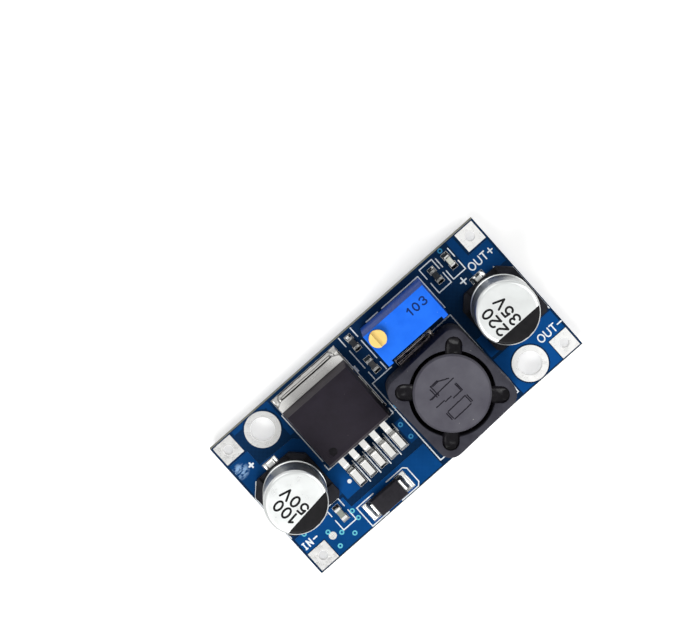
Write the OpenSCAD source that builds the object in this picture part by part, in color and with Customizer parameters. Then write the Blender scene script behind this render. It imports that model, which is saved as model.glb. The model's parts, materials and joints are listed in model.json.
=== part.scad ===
// Step-down (buck) converter module: a two-layer board that carries a five-lead switching
// regulator, a shielded inductor, a 25-turn trimmer, two can capacitors, a diode, a lamp and
// four chips. Millimetres, +X from the input to the output wires, +Z up from the component side.
// The origin is the middle of the footprint, on the plane that the solder domes stand on.

/* [Board] */
// Thickness of the bare board
board_t = 1.6; // [1:0.1:2]
// Thickness of the plated copper on each face and in each hole
cu_t = 0.05; // [0.03:0.01:0.1]
// Width of the V-scored bevel along the two long edges
score_w = 0.13; // [0.05:0.01:0.3]
// Depth of the V-score from each face
score_d = 0.5; // [0.2:0.1:0.6]
// Strip between the input capacitor and the input end
end_in = 0.3; // [0.2:0.05:1.5]
// Strip between the output capacitor and the output end
end_out = 0.15; // [0.1:0.05:1.5]
// Strip between the inductor and the near long edge
edge_ind = 1.1; // [0.9:0.1:2]
// Strip between the trimmer and the far long edge
edge_trim = 1.17; // [0.5:0.01:2]
// Gap between the input capacitor and the regulator
gap_cap_reg = 1.2; // [0.8:0.1:3]
// Gap between the regulator and the inductor
gap_reg_ind = 1.4; // [1:0.1:3]
// Gap between the inductor and the output capacitor
gap_ind_cap = 1.35; // [1:0.05:3]
// Gap between the inductor and the trimmer
gap_ind_trim = 1.7; // [1.4:0.1:3]

/* [Holes and pads] */
// Radius of the two mounting holes
mount_r = 1.55; // [1.2:0.05:1.8]
// Outer radius of the plated ring round a mounting hole
mount_ring_r = 2.3; // [2:0.05:2.4]
// Distance of a mounting hole from the board's nearer end
mount_u = 6.5; // [6:0.1:7]
// Distance of a mounting hole from the board's nearer long edge
mount_v = 2.55; // [2.5:0.05:3]
// Side of a square wire pad
pad_w = 2.75; // [2:0.05:3]
// Distance of a wire pad's centre from both edges of its corner
pad_inset = 1.65; // [1.6:0.05:2]
// Radius of the wire hole in a pad
wire_r = 0.65; // [0.4:0.05:0.9]
// Spacing of the empty wire holes under each capacitor
spare_pitch = 3.6; // [3:0.1:4.4]
// Radius of the empty wire holes under each capacitor
spare_r = 0.42; // [0.3:0.02:0.5]
// Outer radius of the plated ring round such a hole
spare_ring_r = 0.82; // [0.7:0.02:0.9]
// Radius of a via's hole
via_r = 0.15; // [0.1:0.05:0.2]
// Outer radius of a via's ring
via_ring_r = 0.32; // [0.28:0.02:0.4]

/* [Regulator] */
// Width of the regulator's body and tab
reg_w = 10; // [9.6:0.1:10.4]
// Length of the body, from the leads' side to the tab's side
reg_l = 8.85; // [8.4:0.05:9.4]
// Height of the body
reg_h = 4.5; // [4:0.1:5]
// Thickness of the tab
tab_t = 1.27; // [1:0.01:1.4]
// Length of tab that stands out of the body
tab_out = 1.4; // [1:0.1:1.8]
// Distance of the tab's end from the far long edge of the board
tab_edge = 1.2; // [0.9:0.1:1.6]
// Spacing of the five leads
lead_pitch = 1.7; // [1.6:0.05:1.8]
// Width of a lead
lead_w = 0.83; // [0.6:0.01:0.95]
// Thickness of the leads
lead_t = 0.45; // [0.35:0.05:0.6]
// Height of the leads' middle line where they leave the body
lead_h = 2.45; // [2.2:0.05:2.7]
// Distance from the body to the tips of the leads
lead_out = 4.25; // [3.8:0.05:4.6]
// Length of a lead's flat foot
foot_l = 2.2; // [1.8:0.1:2.5]

/* [Inductor] */
// Side of the inductor's square ferrite shield
ind_w = 12.2; // [11.6:0.1:12.8]
// Height of the inductor above its lands
ind_h = 8; // [7:0.1:8.5]
// Corner radius of the shield
ind_corner = 1.8; // [1.2:0.1:2.2]
// Thinnest wall of the shield, between its bore and its flat sides
ind_wall = 0.75; // [0.6:0.05:0.9]
// Gap between the drum core and the shield's bore
drum_clear = 0.52; // [0.4:0.02:0.7]
// Radius of the drum core's middle
drum_hub_r = 2.4; // [2:0.1:2.8]
// Thickness of each flange
flange_t = 1.2; // [1:0.1:1.4]
// Thickness of the base plate
ind_base_t = 0.8; // [0.8:0.1:1]
// Diameter of the winding wire
wire_d = 0.5; // [0.4:0.05:0.6]
// Width of the glue notches
notch_w = 2.1; // [1.8:0.1:2.4]
// Wall between a notch and the shield's rounded corner
notch_wall = 0.88; // [0.7:0.02:1.3]
// Depth of the glue notches
notch_d = 1; // [0.6:0.1:1.4]
// Width of the solder terminals
clip_w = 5; // [4:0.1:5.4]
// Angle that the inductor is turned by on its lands
ind_turn = 2; // [0:0.5:3]

/* [Trimmer] */
// Length of the trimmer's housing
trim_l = 9.53; // [9.5:0.01:9.8]
// Depth of the housing
trim_d = 4.83; // [4.8:0.01:5.2]
// Height of the housing
trim_h = 10.03; // [10:0.01:10.6]
// Distance of the screw's axis from the housing's two nearest sides
screw_inset = 1.27; // [1.25:0.01:1.35]
// Radius of the screw's slotted head
screw_r = 1.1; // [1:0.02:1.14]
// Height of the head above the housing
screw_out = 0.9; // [0.6:0.1:1.4]
// Width of the screwdriver slot
slot_w = 0.5; // [0.4:0.02:0.6]
// Depth of the screwdriver slot
slot_d = 0.6; // [0.4:0.05:0.8]
// Spacing of the three pins
pin_pitch = 2.54; // [2.4:0.01:2.6]
// Radius of a pin
pin_r = 0.25; // [0.2:0.01:0.3]
// Radius of the solder domes under the board
dome_r = 0.97; // [0.85:0.01:1.1]
// Height of the solder domes
dome_h = 0.9; // [0.6:0.05:0.95]
// Distance of the trimmer's middle from the inductor's, along the board
trim_shift = 1.3; // [1:0.1:1.6]
// Number of teeth on the worm wheel
teeth = 34; // [32:1:35]

/* [Capacitors] */
// Radius of the aluminium can
can_r = 4; // [3.8:0.05:4.1]
// Height of the can's top above the lands
can_top = 10.3; // [9:0.1:11]
// Side of the square base plate
cap_base = 8.3; // [8.24:0.02:9]
// Height of the base plate's four corner posts
base_h = 1.5; // [1.2:0.1:2]
// Chamfer of the two corners at the positive side
base_cut = 1.5; // [1.2:0.1:1.8]
// Width of the flat terminals
term_w = 0.85; // [0.7:0.05:1]
// Length of terminal that stands out of the base plate
term_out = 0.5; // [0.3:0.05:0.6]
// Shift of the input capacitor from the board's middle line
cap_in_shift = -0.35; // [-0.6:0.05:0]
// Shift of the output capacitor from the board's middle line
cap_out_shift = -0.1; // [-0.6:0.05:0.2]

/* [Diode and chips] */
// Length of the diode's body
diode_l = 4.3; // [4:0.1:4.6]
// Width of the diode's body
diode_w = 2.6; // [2.4:0.1:2.8]
// Height of the diode's body
diode_h = 2.1; // [1.9:0.1:2.4]
// Width of the diode's leads
diode_lead_w = 1.45; // [1.2:0.05:1.6]
// Length of a chip resistor, capacitor or lamp
chip_l = 1.6; // [1.5:0.05:1.7]
// Width of a chip
chip_w = 0.8; // [0.7:0.05:0.9]
// Height of a chip resistor
chip_h = 0.45; // [0.4:0.05:0.6]

/* [Hidden] */
$fn = 48;
seat = 0.02;                // clearance of a seated piece
run = 0.05;                 // clearance of a running piece
past = 1;                   // how far a cutter reaches past what it cuts

// Heights
under_z = dome_h + cu_t;    // underside of the board
top_z = under_z + board_t;  // component side of the board
land_z = top_z + cu_t;      // top of the lands, on which the components sit

// Places along the board (u, from the input end) and across it (v, from the near long edge)
cap_in_u = end_in + cap_base / 2;
reg_u = cap_in_u + cap_base / 2 + gap_cap_reg + reg_w / 2;
ind_u = reg_u + reg_w / 2 + gap_reg_ind + ind_w / 2;
cap_out_u = ind_u + ind_w / 2 + gap_ind_cap + cap_base / 2;
board_l = cap_out_u + cap_base / 2 + end_out;
ind_v = edge_ind + ind_w / 2;
trim_u = ind_u + trim_shift;
trim_v = ind_v + ind_w / 2 + gap_ind_trim + trim_d / 2;
board_w = trim_v + trim_d / 2 + edge_trim;
cap_in_v = board_w / 2 + cap_in_shift;
cap_out_v = board_w / 2 + cap_out_shift;
tab_v = board_w - tab_edge;              // end of the regulator's tab
reg_v = tab_v - tab_out - reg_l / 2;     // middle of the regulator's body
diode_shift = 2.15;         // diode's middle from the regulator's, towards the input
diode_inset = 0.55;         // diode's body from the near long edge
diode_u = reg_u - diode_shift;
diode_v = diode_inset + diode_w / 2;

mount_places = [[mount_u, board_w - mount_v], [board_l - mount_u, mount_v]];
pad_places = [for (u = [pad_inset, board_l - pad_inset], v = [pad_inset, board_w - pad_inset]) [u, v]];
spare_places = [for (u = [cap_in_u, cap_out_u], s = [-1, 1])
                [u, board_w / 2 - 0.2 + s * spare_pitch / 2]];
pin_places = [for (i = [-1:1]) [trim_u + i * pin_pitch, trim_v]];
via_grid_w = 1.45;           // grid of the vias round the regulator, from the tab's end
via_inset = 0.25;
via_cell_w = 1.15;            // grid of the other vias
ind_side_u = ind_u - ind_w / 2;
via_places = concat(
    // beside the negative input pad
    [for (c = [[1.43, 4.56], [3.5, 3], [3.5, 1], [4.6, 2], [5.6, 1], [7, 3], [7, 2]]) c * via_cell_w],
    // under and beside the regulator
    [for (c = [[-2, 0], [0, 0], [-3, 1], [3, 1], [2, 2], [-3, 3], [-3, 5], [3, 5], [-2, 6]])
     [reg_u + c[0] * via_grid_w, tab_v - via_inset - c[1] * via_grid_w]],
    // between the regulator and the inductor
    [for (c = [[-0.35, 7.5], [-1.35, 5.6], [-1.35, 3.9]]) [ind_side_u, ind_v - ind_w / 2] + c * via_cell_w],
    // round the output capacitor and the lamp
    [for (c = [[-2.2, -2.25], [-3.1, -3.1], [-1.2, -3.1], [2.25, -2.15]])
     [cap_out_u, cap_out_v] + c * via_cell_w],
    [[board_l - 4.9 * via_cell_w, board_w - 0.45 * via_cell_w]]);

// Chips: each stands across the board
lamp_gap = 3.9;             // gaps from the trimmer's ends to the chips beside it
lamp_resistor_gap = 1.45;
divider_gap = 1.4;
chip_cap_gap = 1;           // gap from the input capacitor's base plate
chip_cap_shift = 2.35;
divider_in = 1.1;           // chips' ends from the far long edge
lamp_in = 1.4;
lamp_resistor_in = 1.65;
feedback_in = 4.7;
lamp_at = [trim_u + trim_l / 2 + lamp_gap + chip_w / 2, board_w - lamp_in - chip_l / 2];
lamp_resistor_at = [trim_u + trim_l / 2 + lamp_resistor_gap + chip_w / 2,
                    board_w - lamp_resistor_in - chip_l / 2];
divider_at = [trim_u - trim_l / 2 - divider_gap - chip_w / 2, board_w - divider_in - chip_l / 2];
feedback_at = [divider_at[0], board_w - feedback_in - chip_l / 2];
chip_cap_at = [cap_in_u + chip_cap_shift, cap_in_v - cap_base / 2 - chip_cap_gap - chip_l / 2];
chip_places = [lamp_at, lamp_resistor_at, divider_at, feedback_at, chip_cap_at];
chip_land_side_w = 0.075;     // land beyond the chip's sides
chip_land_out = 0.4;        // land beyond the chip's end
chip_land_in = 0.45;        // land under the chip
chip_land_l = chip_land_out + chip_land_in;
chip_land_w = chip_w + 2 * chip_land_side_w;

// ---------------------------------------------------------------- helpers

function unit(v) = v / norm(v);
function turned(v) = [-v[1], v[0]];
function step_dir(p, i) = unit(p[i + 1] - p[i]);
// Half-thickness vector of a strip at point i of its path, mitred between the two steps
function half_mitre(p, i, t) =
    let (a = turned(step_dir(p, max(i - 1, 0))),
         b = turned(step_dir(p, min(i, len(p) - 2))),
         m = unit(a + b))
    m * t / 2 / (m * a);
// Closed outline of a strip of thickness t along a path
function strip(p, t) = concat(
    [for (i = [0:len(p) - 1]) p[i] + half_mitre(p, i, t)],
    [for (i = [len(p) - 1:-1:0]) p[i] - half_mitre(p, i, t)]);
// The same path with each inner corner eased into a bend
function eased(p, reach, n = 4) = concat(
    [p[0]],
    [for (i = [1:len(p) - 2])
     let (b = p[i], a = b + unit(p[i - 1] - b) * reach, c = b + unit(p[i + 1] - b) * reach)
     for (k = [0:n]) let (t = k / n) (1 - t) ^ 2 * a + 2 * t * (1 - t) * b + t ^ 2 * c],
    [p[len(p) - 1]]);
// Outline of a solder fillet of length l and height h; belly 0 is hollow, 1 is full
function fillet_outline(l, h, belly = 0.2, n = 6) = concat(
    [[0, 0]],
    [for (k = [0:n]) let (t = k / n)
     [(1 - t) ^ 2 * l + 2 * t * (1 - t) * l * belly, t ^ 2 * h + 2 * t * (1 - t) * h * belly]]);

// Moves to a place on the board
module at(p) translate([p[0] - board_l / 2, p[1] - board_w / 2, 0]) children();
// Extrudes a YZ outline along X, or an XZ outline along Y, on both sides of the middle
module along_x(w) rotate([90, 0, 90]) translate([0, 0, -w / 2]) linear_extrude(w) children();
module along_y(w) rotate([90, 0, 0]) translate([0, 0, -w / 2]) linear_extrude(w) children();
module box(x, y, z) translate([-x / 2, -y / 2, 0]) cube([x, y, z]);
module up(z) translate([0, 0, z]) children();
// Square with round corners
module rounded_square(w, r) {
    square([w - 2 * r, w], center = true);
    square([w, w - 2 * r], center = true);
    for (x = [-1, 1], y = [-1, 1]) translate([x, y] * (w / 2 - r)) circle(r);
}
// Plated hole: a barrel with a ring on each face of the board
module plated_hole(r, ring_r) {
    rotate_extrude() {
        translate([r, under_z - cu_t]) square([ring_r - r, cu_t]);
        translate([r, top_z]) square([ring_r - r, cu_t]);
        translate([r, under_z - cu_t]) square([cu_t, board_t + 2 * cu_t]);
    }
}
module drill(p, r) at(p) up(under_z - past) cylinder(h = board_t + 2 * past, r = r);

// ---------------------------------------------------------------- board

module circuit_board() {
    y = board_w / 2;
    color("#14427f")
    difference() {
        along_x(board_l) polygon([
            [-y, under_z + score_d], [-y, top_z - score_d], [-y + score_w, top_z],
            [y - score_w, top_z], [y, top_z - score_d], [y, under_z + score_d],
            [y - score_w, under_z], [-y + score_w, under_z]]);
        for (p = mount_places) drill(p, mount_r);
        for (p = pad_places) drill(p, wire_r);
        for (p = spare_places) drill(p, spare_r + cu_t);
        for (p = pin_places) drill(p, pin_hole_r + cu_t);
        for (p = via_places) drill(p, via_r + cu_t);
    }
}

// A plate on each face of the board
module both_faces() for (z = [under_z - cu_t, top_z]) up(z) children();

module wire_pads() {
    color("#c9ccd2")
    for (p = pad_places) at(p) difference() {
        both_faces() box(pad_w, pad_w, cu_t);
        up(under_z - past) cylinder(h = board_t + 2 * past, r = wire_r);
    }
}

module mounting_rings() {
    color("#d4d6da")
    for (p = mount_places) at(p) difference() {
        both_faces() cylinder(h = cu_t, r = mount_ring_r);
        up(under_z - past) cylinder(h = board_t + 2 * past, r = mount_r);
    }
}

module hole_rings() {
    color("#c9ccd2") for (p = spare_places) at(p) plated_hole(spare_r, spare_ring_r);
    color("#c9ccd2") for (p = pin_places) at(p) plated_hole(pin_hole_r, dome_r);
}

module via_rings() {
    color("#3c74b4") for (p = via_places) at(p) plated_hole(via_r, via_ring_r);
}

module land(p, w, l) at(p) up(top_z) box(w, l, cu_t);

reg_land_out = 0.64;         // tab land beyond the tab
reg_land_side_w = 0.185;       // and beyond its sides
reg_land_in = 1;             // body beyond the tab land, on the leads' side
lead_land_out = 0.35;        // lead lands beyond the leads' tips
lead_land_side_w = 0.175;      // and beyond their sides
lead_land_in = 0.25;         // and beyond their feet, under the leads
lead_tip_v = reg_v - reg_l / 2 - lead_out;
clip_land_out = 0.75;        // inductor lands beyond the shield
clip_land_side_w = 0.425;      // and beyond the clips' sides
clip_land_l = 2.2;
diode_lead_out = 0.3;        // diode leads beyond the body
diode_reach = diode_l / 2 + diode_lead_out;
diode_land_l = 1.5;
diode_land_side_w = 0.525;     // diode lands beyond the leads' sides
diode_land_out = 0.95;       // and beyond their ends
cap_land_side_w = 0.575;       // capacitor lands beyond the terminals' sides
cap_land_l = 2.2;
cap_land_out = 0.85;         // and beyond the base plate

module all_lands() {
    tab_land_l = tab_out + reg_l - reg_land_in + reg_land_out;
    lead_land_l = foot_l + lead_land_in + lead_land_out;
    land([reg_u, tab_v + reg_land_out - tab_land_l / 2], reg_w + 2 * reg_land_side_w, tab_land_l);
    for (i = [-2:2])
        land([reg_u + i * lead_pitch, lead_tip_v - lead_land_out + lead_land_l / 2],
             lead_w + 2 * lead_land_side_w, lead_land_l);
    for (s = [-1, 1]) {
        land([ind_u, ind_v + s * (ind_w / 2 + clip_land_out - clip_land_l / 2)],
             clip_w + 2 * clip_land_side_w, clip_land_l);
        land([diode_u + s * (diode_reach + diode_land_out - diode_land_l / 2), diode_v],
             diode_land_l, diode_lead_w + 2 * diode_land_side_w);
        for (c = [[cap_in_u, cap_in_v], [cap_out_u, cap_out_v]])
            land([c[0], c[1] + s * (cap_base / 2 + cap_land_out - cap_land_l / 2)],
                 term_w + 2 * cap_land_side_w, cap_land_l);
        for (p = chip_places)
            land([p[0], p[1] + s * (chip_l / 2 + chip_land_out - chip_land_l / 2)],
                 chip_land_w, chip_land_l);
    }
}
module solder_lands() {
    color("#c9ccd2") difference() {
        all_lands();
        for (p = via_places) drill(p, via_ring_r);
    }
}

// Fillet of solder that runs out along +Y from a face at y = 0
module solder_fillet(w, l, h, belly = 0.2) up(land_z) along_x(w) polygon(fillet_outline(l, h, belly));

solder_lip = 0.04;           // bare rim of a land round its solder
tab_solder_h = 0.7;          // heights that the solder climbs to
clip_solder_h = 0.7;
clip_solder_out = 0.35;      // solder beyond a clip
diode_solder_h = 1.1;
diode_solder_side_w = 0.25;    // solder beyond the sides of the diode's leads
term_solder_side_w = 0.15;     // and of the capacitors' terminals
chip_solder_h = 0.4;

module solder_joints() {
    color("#b9bcc2") {
        at([reg_u, tab_v]) solder_fillet(tab_end_w, reg_land_out - solder_lip, tab_solder_h);
        for (i = [-2:2])
            at([reg_u + i * lead_pitch, lead_tip_v])
                rotate(180) solder_fillet(lead_w, lead_land_out - solder_lip, lead_t * 0.9, 0.35);
        for (s = [-1, 1]) {
            at([ind_u, ind_v]) rotate(ind_turn) translate([0, s * clip_face, 0])
                rotate(s > 0 ? 0 : 180) solder_fillet(clip_w, clip_solder_out, clip_solder_h, 0.4);
            at([diode_u + s * diode_reach, diode_v]) rotate(-90 * s)
                solder_fillet(diode_lead_w + 2 * diode_solder_side_w, diode_land_out - solder_lip,
                              diode_solder_h, 0.45);
            for (c = [[cap_in_u, cap_in_v], [cap_out_u, cap_out_v]])
                at([c[0], c[1] + s * (cap_base / 2 + term_out)]) rotate(s > 0 ? 0 : 180)
                    solder_fillet(term_w + 2 * term_solder_side_w, cap_land_out - term_out - solder_lip,
                                  term_t, 0.4);
            for (p = chip_places)
                at([p[0], p[1] + s * chip_l / 2]) rotate(s > 0 ? 0 : 180)
                    solder_fillet(chip_w, chip_land_out - solder_lip, chip_solder_h, 0.3);
        }
    }
}

pin_hole_play = 0.15;        // solder round a pin in its hole
pin_hole_r = pin_r + pin_hole_play;
pin_tip_z = 0.25;            // pins end inside their solder
dome_sphere_r = (dome_r ^ 2 + dome_h ^ 2) / (2 * dome_h);

module pin_solder() {
    color("#b9bcc2") for (p = pin_places) at(p) difference() {
        union() {
            intersection() {
                up(dome_sphere_r) sphere(dome_sphere_r);
                cylinder(h = dome_h, r = dome_r + past);
            }
            cylinder(h = under_z + board_t / 2, r = pin_hole_r);
        }
        up(pin_tip_z - seat) cylinder(h = board_t + dome_h, r = pin_r + seat);
    }
}

// ---------------------------------------------------------------- regulator

body_draft = 0.25;           // how far each drafted face leans in
tab_in_w = reg_w - 2;        // tab inside the body
tab_in_l = 7.2;
tab_cut = [1.1, 0.6];        // cut corners of the tab's free end
tab_end_w = reg_w - 2 * tab_cut[0];
chip_size = [4, 3.2, 0.3];
strap_w = 0.4;
strap_t = 0.12;
lead_in = 1.1;               // length of lead inside the body
lead_root_y = -reg_l / 2 + lead_in;

// Middle line of a lead in YZ, from inside the body to the tip of its foot
function lead_path() = eased([
    [lead_root_y, lead_h], [-reg_l / 2 - 1.35, lead_h],
    [-reg_l / 2 - lead_out + foot_l, lead_t / 2], [-reg_l / 2 - lead_out, lead_t / 2]], 0.45);
module lead() along_x(lead_w) polygon(strip(lead_path(), lead_t));
module tab_solid() {
    x = reg_w / 2;
    y = reg_l / 2;
    linear_extrude(tab_t) {
        polygon([[-x, y], [-x, y + tab_out - tab_cut[1]], [-x + tab_cut[0], y + tab_out],
                 [x - tab_cut[0], y + tab_out], [x, y + tab_out - tab_cut[1]], [x, y]]);
        translate([-tab_in_w / 2, y - tab_in_l]) square([tab_in_w, tab_in_l]);
    }
    lead();
    // step from the middle lead down to the tab
    along_x(lead_w) polygon(strip([[lead_root_y - 0.2, lead_h], [lead_root_y, lead_h],
                                   [y - tab_in_l + 0.7, tab_t - lead_t / 2],
                                   [y - tab_in_l + 1.2, tab_t - lead_t / 2]], lead_t));
}
module chip_solid() up(tab_t) box(chip_size[0], chip_size[1], chip_size[2]);
module side_leads() for (i = [-2, -1, 1, 2]) translate([i * lead_pitch, 0, 0]) lead();
module straps() {
    chip_top = tab_t + chip_size[2];
    lead_top = lead_h + lead_t / 2;
    for (i = [-2, -1, 1, 2]) {
        from = [i * 0.8, -chip_size[1] / 2 + 0.5];
        to = [i * lead_pitch, lead_root_y - 0.4];
        len = norm(to - from);
        translate(from) rotate(atan2(to[1] - from[1], to[0] - from[0]))
            along_y(strap_w) polygon(strip(eased([
                [0, chip_top + strap_t / 2], [0.5, chip_top + strap_t / 2],
                [len * 0.45, lead_top + 0.5], [len - 0.5, lead_top + strap_t / 2],
                [len, lead_top + strap_t / 2]], 0.2, 2), strap_t));
    }
}
module reg_at() at([reg_u, reg_v]) up(land_z) children();

module regulator_body() {
    x = reg_w / 2;
    y = reg_l / 2;
    d = body_draft;
    color("#3a3437") reg_at() difference() {
        intersection() {
            along_x(reg_w + past) polygon([
                [-y + d, 0], [-y, lead_h], [-y + d, reg_h - 0.3], [-y + d + 0.3, reg_h],
                [y - 2 * d, reg_h], [y, tab_t], [y - d / 2, 0]]);
            along_y(reg_l + past) polygon([
                [-x, 0], [-x, lead_h], [-x + d, reg_h], [x - d, reg_h], [x, lead_h], [x, 0]]);
        }
        tab_solid();
        side_leads();
        chip_solid();
        straps();
        // ejector mark beside the first lead
        translate([-x + 1.35, -y + 1.6, reg_h - 0.12]) cylinder(h = past, r = 0.6);
    }
}
module regulator_tab() color("#c3c5ca") reg_at() tab_solid();
module regulator_leads() color("#c3c5ca") reg_at() side_leads();
module regulator_chip() color("#5b5f68") reg_at() chip_solid();
module regulator_straps() color("#d0d0d0") reg_at() straps();

// ---------------------------------------------------------------- inductor

ind_bore_r = ind_w / 2 - ind_wall;
drum_r = ind_bore_r - drum_clear;
drum_gap = 0.1;              // drum below the shield's top
clip_t = 0.15;
clip_h = 1.1;
clip_in = 2.5;
clip_face = ind_w / 2 + clip_t + seat;   // outer face of a clip
glue_drop = 0.15;
drum_z = ind_base_t;
drum_top = ind_h - drum_gap;
wind_z0 = drum_z + flange_t;
wind_z1 = drum_top - flange_t;
wind_r = drum_r - 0.15;
turns_up = floor((wind_z1 - wind_z0) / wire_d);
exit_w = wire_d + 0.2;

notch_reach = (ind_w / 2 - ind_corner) * sqrt(2) + ind_corner - notch_wall;

module ind_at() at([ind_u, ind_v]) up(land_z) rotate(ind_turn) children();
module notch_outline() {
    r = notch_w / 2;
    from = drum_r - 0.6;
    for (a = [45:90:315]) rotate(a) {
        translate([from, -r]) square([notch_reach - r - from, notch_w]);
        translate([notch_reach - r, 0]) circle(r);
    }
}
module inductor_shield() {
    color("#3f3f44") ind_at() difference() {
        up(ind_base_t) linear_extrude(ind_h - ind_base_t) rounded_square(ind_w, ind_corner);
        cylinder(h = ind_h + past, r = ind_bore_r);
        up(ind_h - notch_d) linear_extrude(notch_d + past) notch_outline();
    }
}
// Notches in the drum's lower flange that the winding's ends leave through
module wire_exits() for (s = [-1, 1])
    translate([-exit_w / 2, s * (drum_r - 0.45) - 0.5, drum_z - past]) cube([exit_w, 1, flange_t + 2 * past]);
module inductor_drum() {
    color("#46464b") ind_at() difference() {
        rotate_extrude() {
            translate([0, drum_z]) square([drum_r, flange_t]);
            translate([0, drum_z]) square([drum_hub_r, drum_top - drum_z]);
            polygon([[0, wind_z1], [drum_r, wind_z1], [drum_r, drum_top - 0.25],
                     [drum_r - 0.25, drum_top], [0, drum_top]]);
        }
        wire_exits();
    }
}
// The wound wire is one solid with a ridge for each turn; its ends run down to the clips
module inductor_winding() {
    r = wire_d / 2;
    color("#b5662f") ind_at() {
        rotate_extrude() {
            translate([drum_hub_r + seat, wind_z0 + seat])
                square([wind_r - r - drum_hub_r - seat, wind_z1 - wind_z0 - 2 * seat]);
            for (i = [0:turns_up - 1])
                translate([wind_r - r, wind_z0 + (i + 0.5) * (wind_z1 - wind_z0) / turns_up]) circle(r - seat);
        }
        for (s = [-1, 1]) {
            y = s * (wind_r - r);
            translate([0, y, drum_z - r]) cylinder(h = flange_t + 2 * r + seat, r = r - seat);
            translate([0, y, drum_z - r]) sphere(r - seat);
            translate([0, y, drum_z - r]) rotate([-90 * s, 0, 0])
                cylinder(h = ind_w / 2 - abs(y), r = r - seat);
        }
    }
}
module inductor_base() {
    color("#2b2b2e") ind_at() difference() {
        up(clip_t) linear_extrude(ind_base_t - clip_t) rounded_square(ind_w - 0.2, ind_corner);
        // channels for the winding's ends
        for (s = [-1, 1])
            translate([-exit_w / 2, s > 0 ? drum_r - 1 : -ind_w, ind_base_t - wire_d])
                cube([exit_w, ind_w - drum_r + 1, wire_d + past]);
    }
}
module inductor_clips() {
    color("#c3c5ca") ind_at() for (s = [-1, 1]) rotate(s > 0 ? 0 : 180)
        along_x(clip_w) polygon([
            [clip_face, 0], [clip_face, clip_h], [clip_face - clip_t, clip_h],
            [clip_face - clip_t, clip_t], [clip_face - clip_in, clip_t], [clip_face - clip_in, 0]]);
}
module inductor_glue() {
    color("#17171a") ind_at() up(ind_h - notch_d) difference() {
        linear_extrude(notch_d - glue_drop) notch_outline();
        up(-past) cylinder(h = notch_d + 2 * past, r = drum_r + seat);
    }
}

// ---------------------------------------------------------------- trimmer

wall = 0.75;                 // end walls of the housing
side_wall = 0.6;             // broad walls
roof = 0.9;
foot = 0.4;                  // end ribs and feet stand out by this much
rib_w = 0.75;
hx = trim_l / 2;
hy = trim_d / 2;
cav_x = hx - wall;
cav_y0 = -hy + foot + side_wall;
cav_y1 = hy - side_wall;
cav_top = trim_h - roof;
seal_top = 1.3;
screw_x = -hx + screw_inset;
screw_y = hy - screw_inset;
neck_r = 0.45;               // screw's neck and thread root
worm_r = 0.75;               // thread crest
oring_r = 0.2;
ring_bore_r = neck_r + 2 * oring_r + 0.1;
ring_seat_d = 0.45;
tooth_in = 0.2;              // depth of a wheel tooth below the pitch circle
tooth_out = 0.12;            // and above it
mesh_depth = 0.12;           // worm crest beyond the worm's pitch radius
wheel_gap_h = 0.67;          // pitch circle from the roof and from the seal
wheel_gap_l = 0.39;          // and from the far end wall
wheel_z = (seal_top + cav_top) / 2;
wheel_pitch_r = min((cav_top - seal_top) / 2 - wheel_gap_h,
                    (cav_x - screw_x - worm_r + mesh_depth - wheel_gap_l) / 2);
wheel_x = screw_x + worm_r - mesh_depth + wheel_pitch_r;
worm_pitch = 2 * PI * wheel_pitch_r / teeth;
wheel_t = 0.7;
wheel_hub_r = 1.2;
pivot_r = 0.5;
pivot_in = 0.28;             // pivot's reach into the housing's wall
element_t = 0.8;
element_face = cav_y0 + seat + element_t;
track_r = 2.6;
track_w = 0.8;
track_t = 0.03;
wiper_t = 0.12;
hub_end = element_face + 0.35;
worm_z0 = wheel_z - 1.9;
worm_turns = 6;
worm_len = worm_turns * worm_pitch;

module trim_at() at([trim_u, trim_v]) up(top_z) children();
module screw_at() trim_at() translate([screw_x, screw_y, 0]) children();
// The wheel's axis runs along -Y
module wheel_at(y) trim_at() translate([wheel_x, y, wheel_z]) rotate([90, 0, 0]) children();

module trimmer_housing() {
    color("#2f74e0") trim_at() difference() {
        union() {
            translate([-hx, -hy + foot, foot]) cube([trim_l, trim_d - foot, trim_h - foot]);
            for (s = [-1, 1]) translate([s * (hx - rib_w / 2), 0, 0]) box(rib_w, trim_d, trim_h);
        }
        difference() {
            translate([-cav_x, cav_y0, -past]) cube([2 * cav_x, cav_y1 - cav_y0, cav_top + past]);
            // post under the screw's tip
            translate([-cav_x - past, screw_y - 0.7, seal_top])
                cube([screw_x + cav_x + past + 0.7, cav_y1 - screw_y + 0.7 + past, screw_seat_z - seal_top]);
        }
        // channel round the worm, and the pocket for its tip
        translate([screw_x, screw_y, screw_seat_z])
            cylinder(h = cav_top - screw_seat_z, r = worm_r + 2 * run);
        translate([screw_x, screw_y, screw_tip_z - run])
            cylinder(h = screw_seat_z - screw_tip_z + past, r = neck_r + run);
        // neck bore and the seat of the sealing ring
        translate([screw_x, screw_y, cav_top - past]) cylinder(h = roof + 2 * past, r = neck_r + run);
        translate([screw_x, screw_y, trim_h - ring_seat_d]) cylinder(h = past, r = ring_bore_r);
        // pivot pocket of the wheel
        translate([wheel_x, cav_y1 + pivot_in + run, wheel_z]) rotate([90, 0, 0])
            cylinder(h = pivot_in + run + past / 2, r = pivot_r + run);
    }
}

screw_seat_z = 2.6;          // top of the post under the screw's tip
screw_tip_z = 2.1;
thread_sides = 24;
steps_per_turn = 10;
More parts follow.
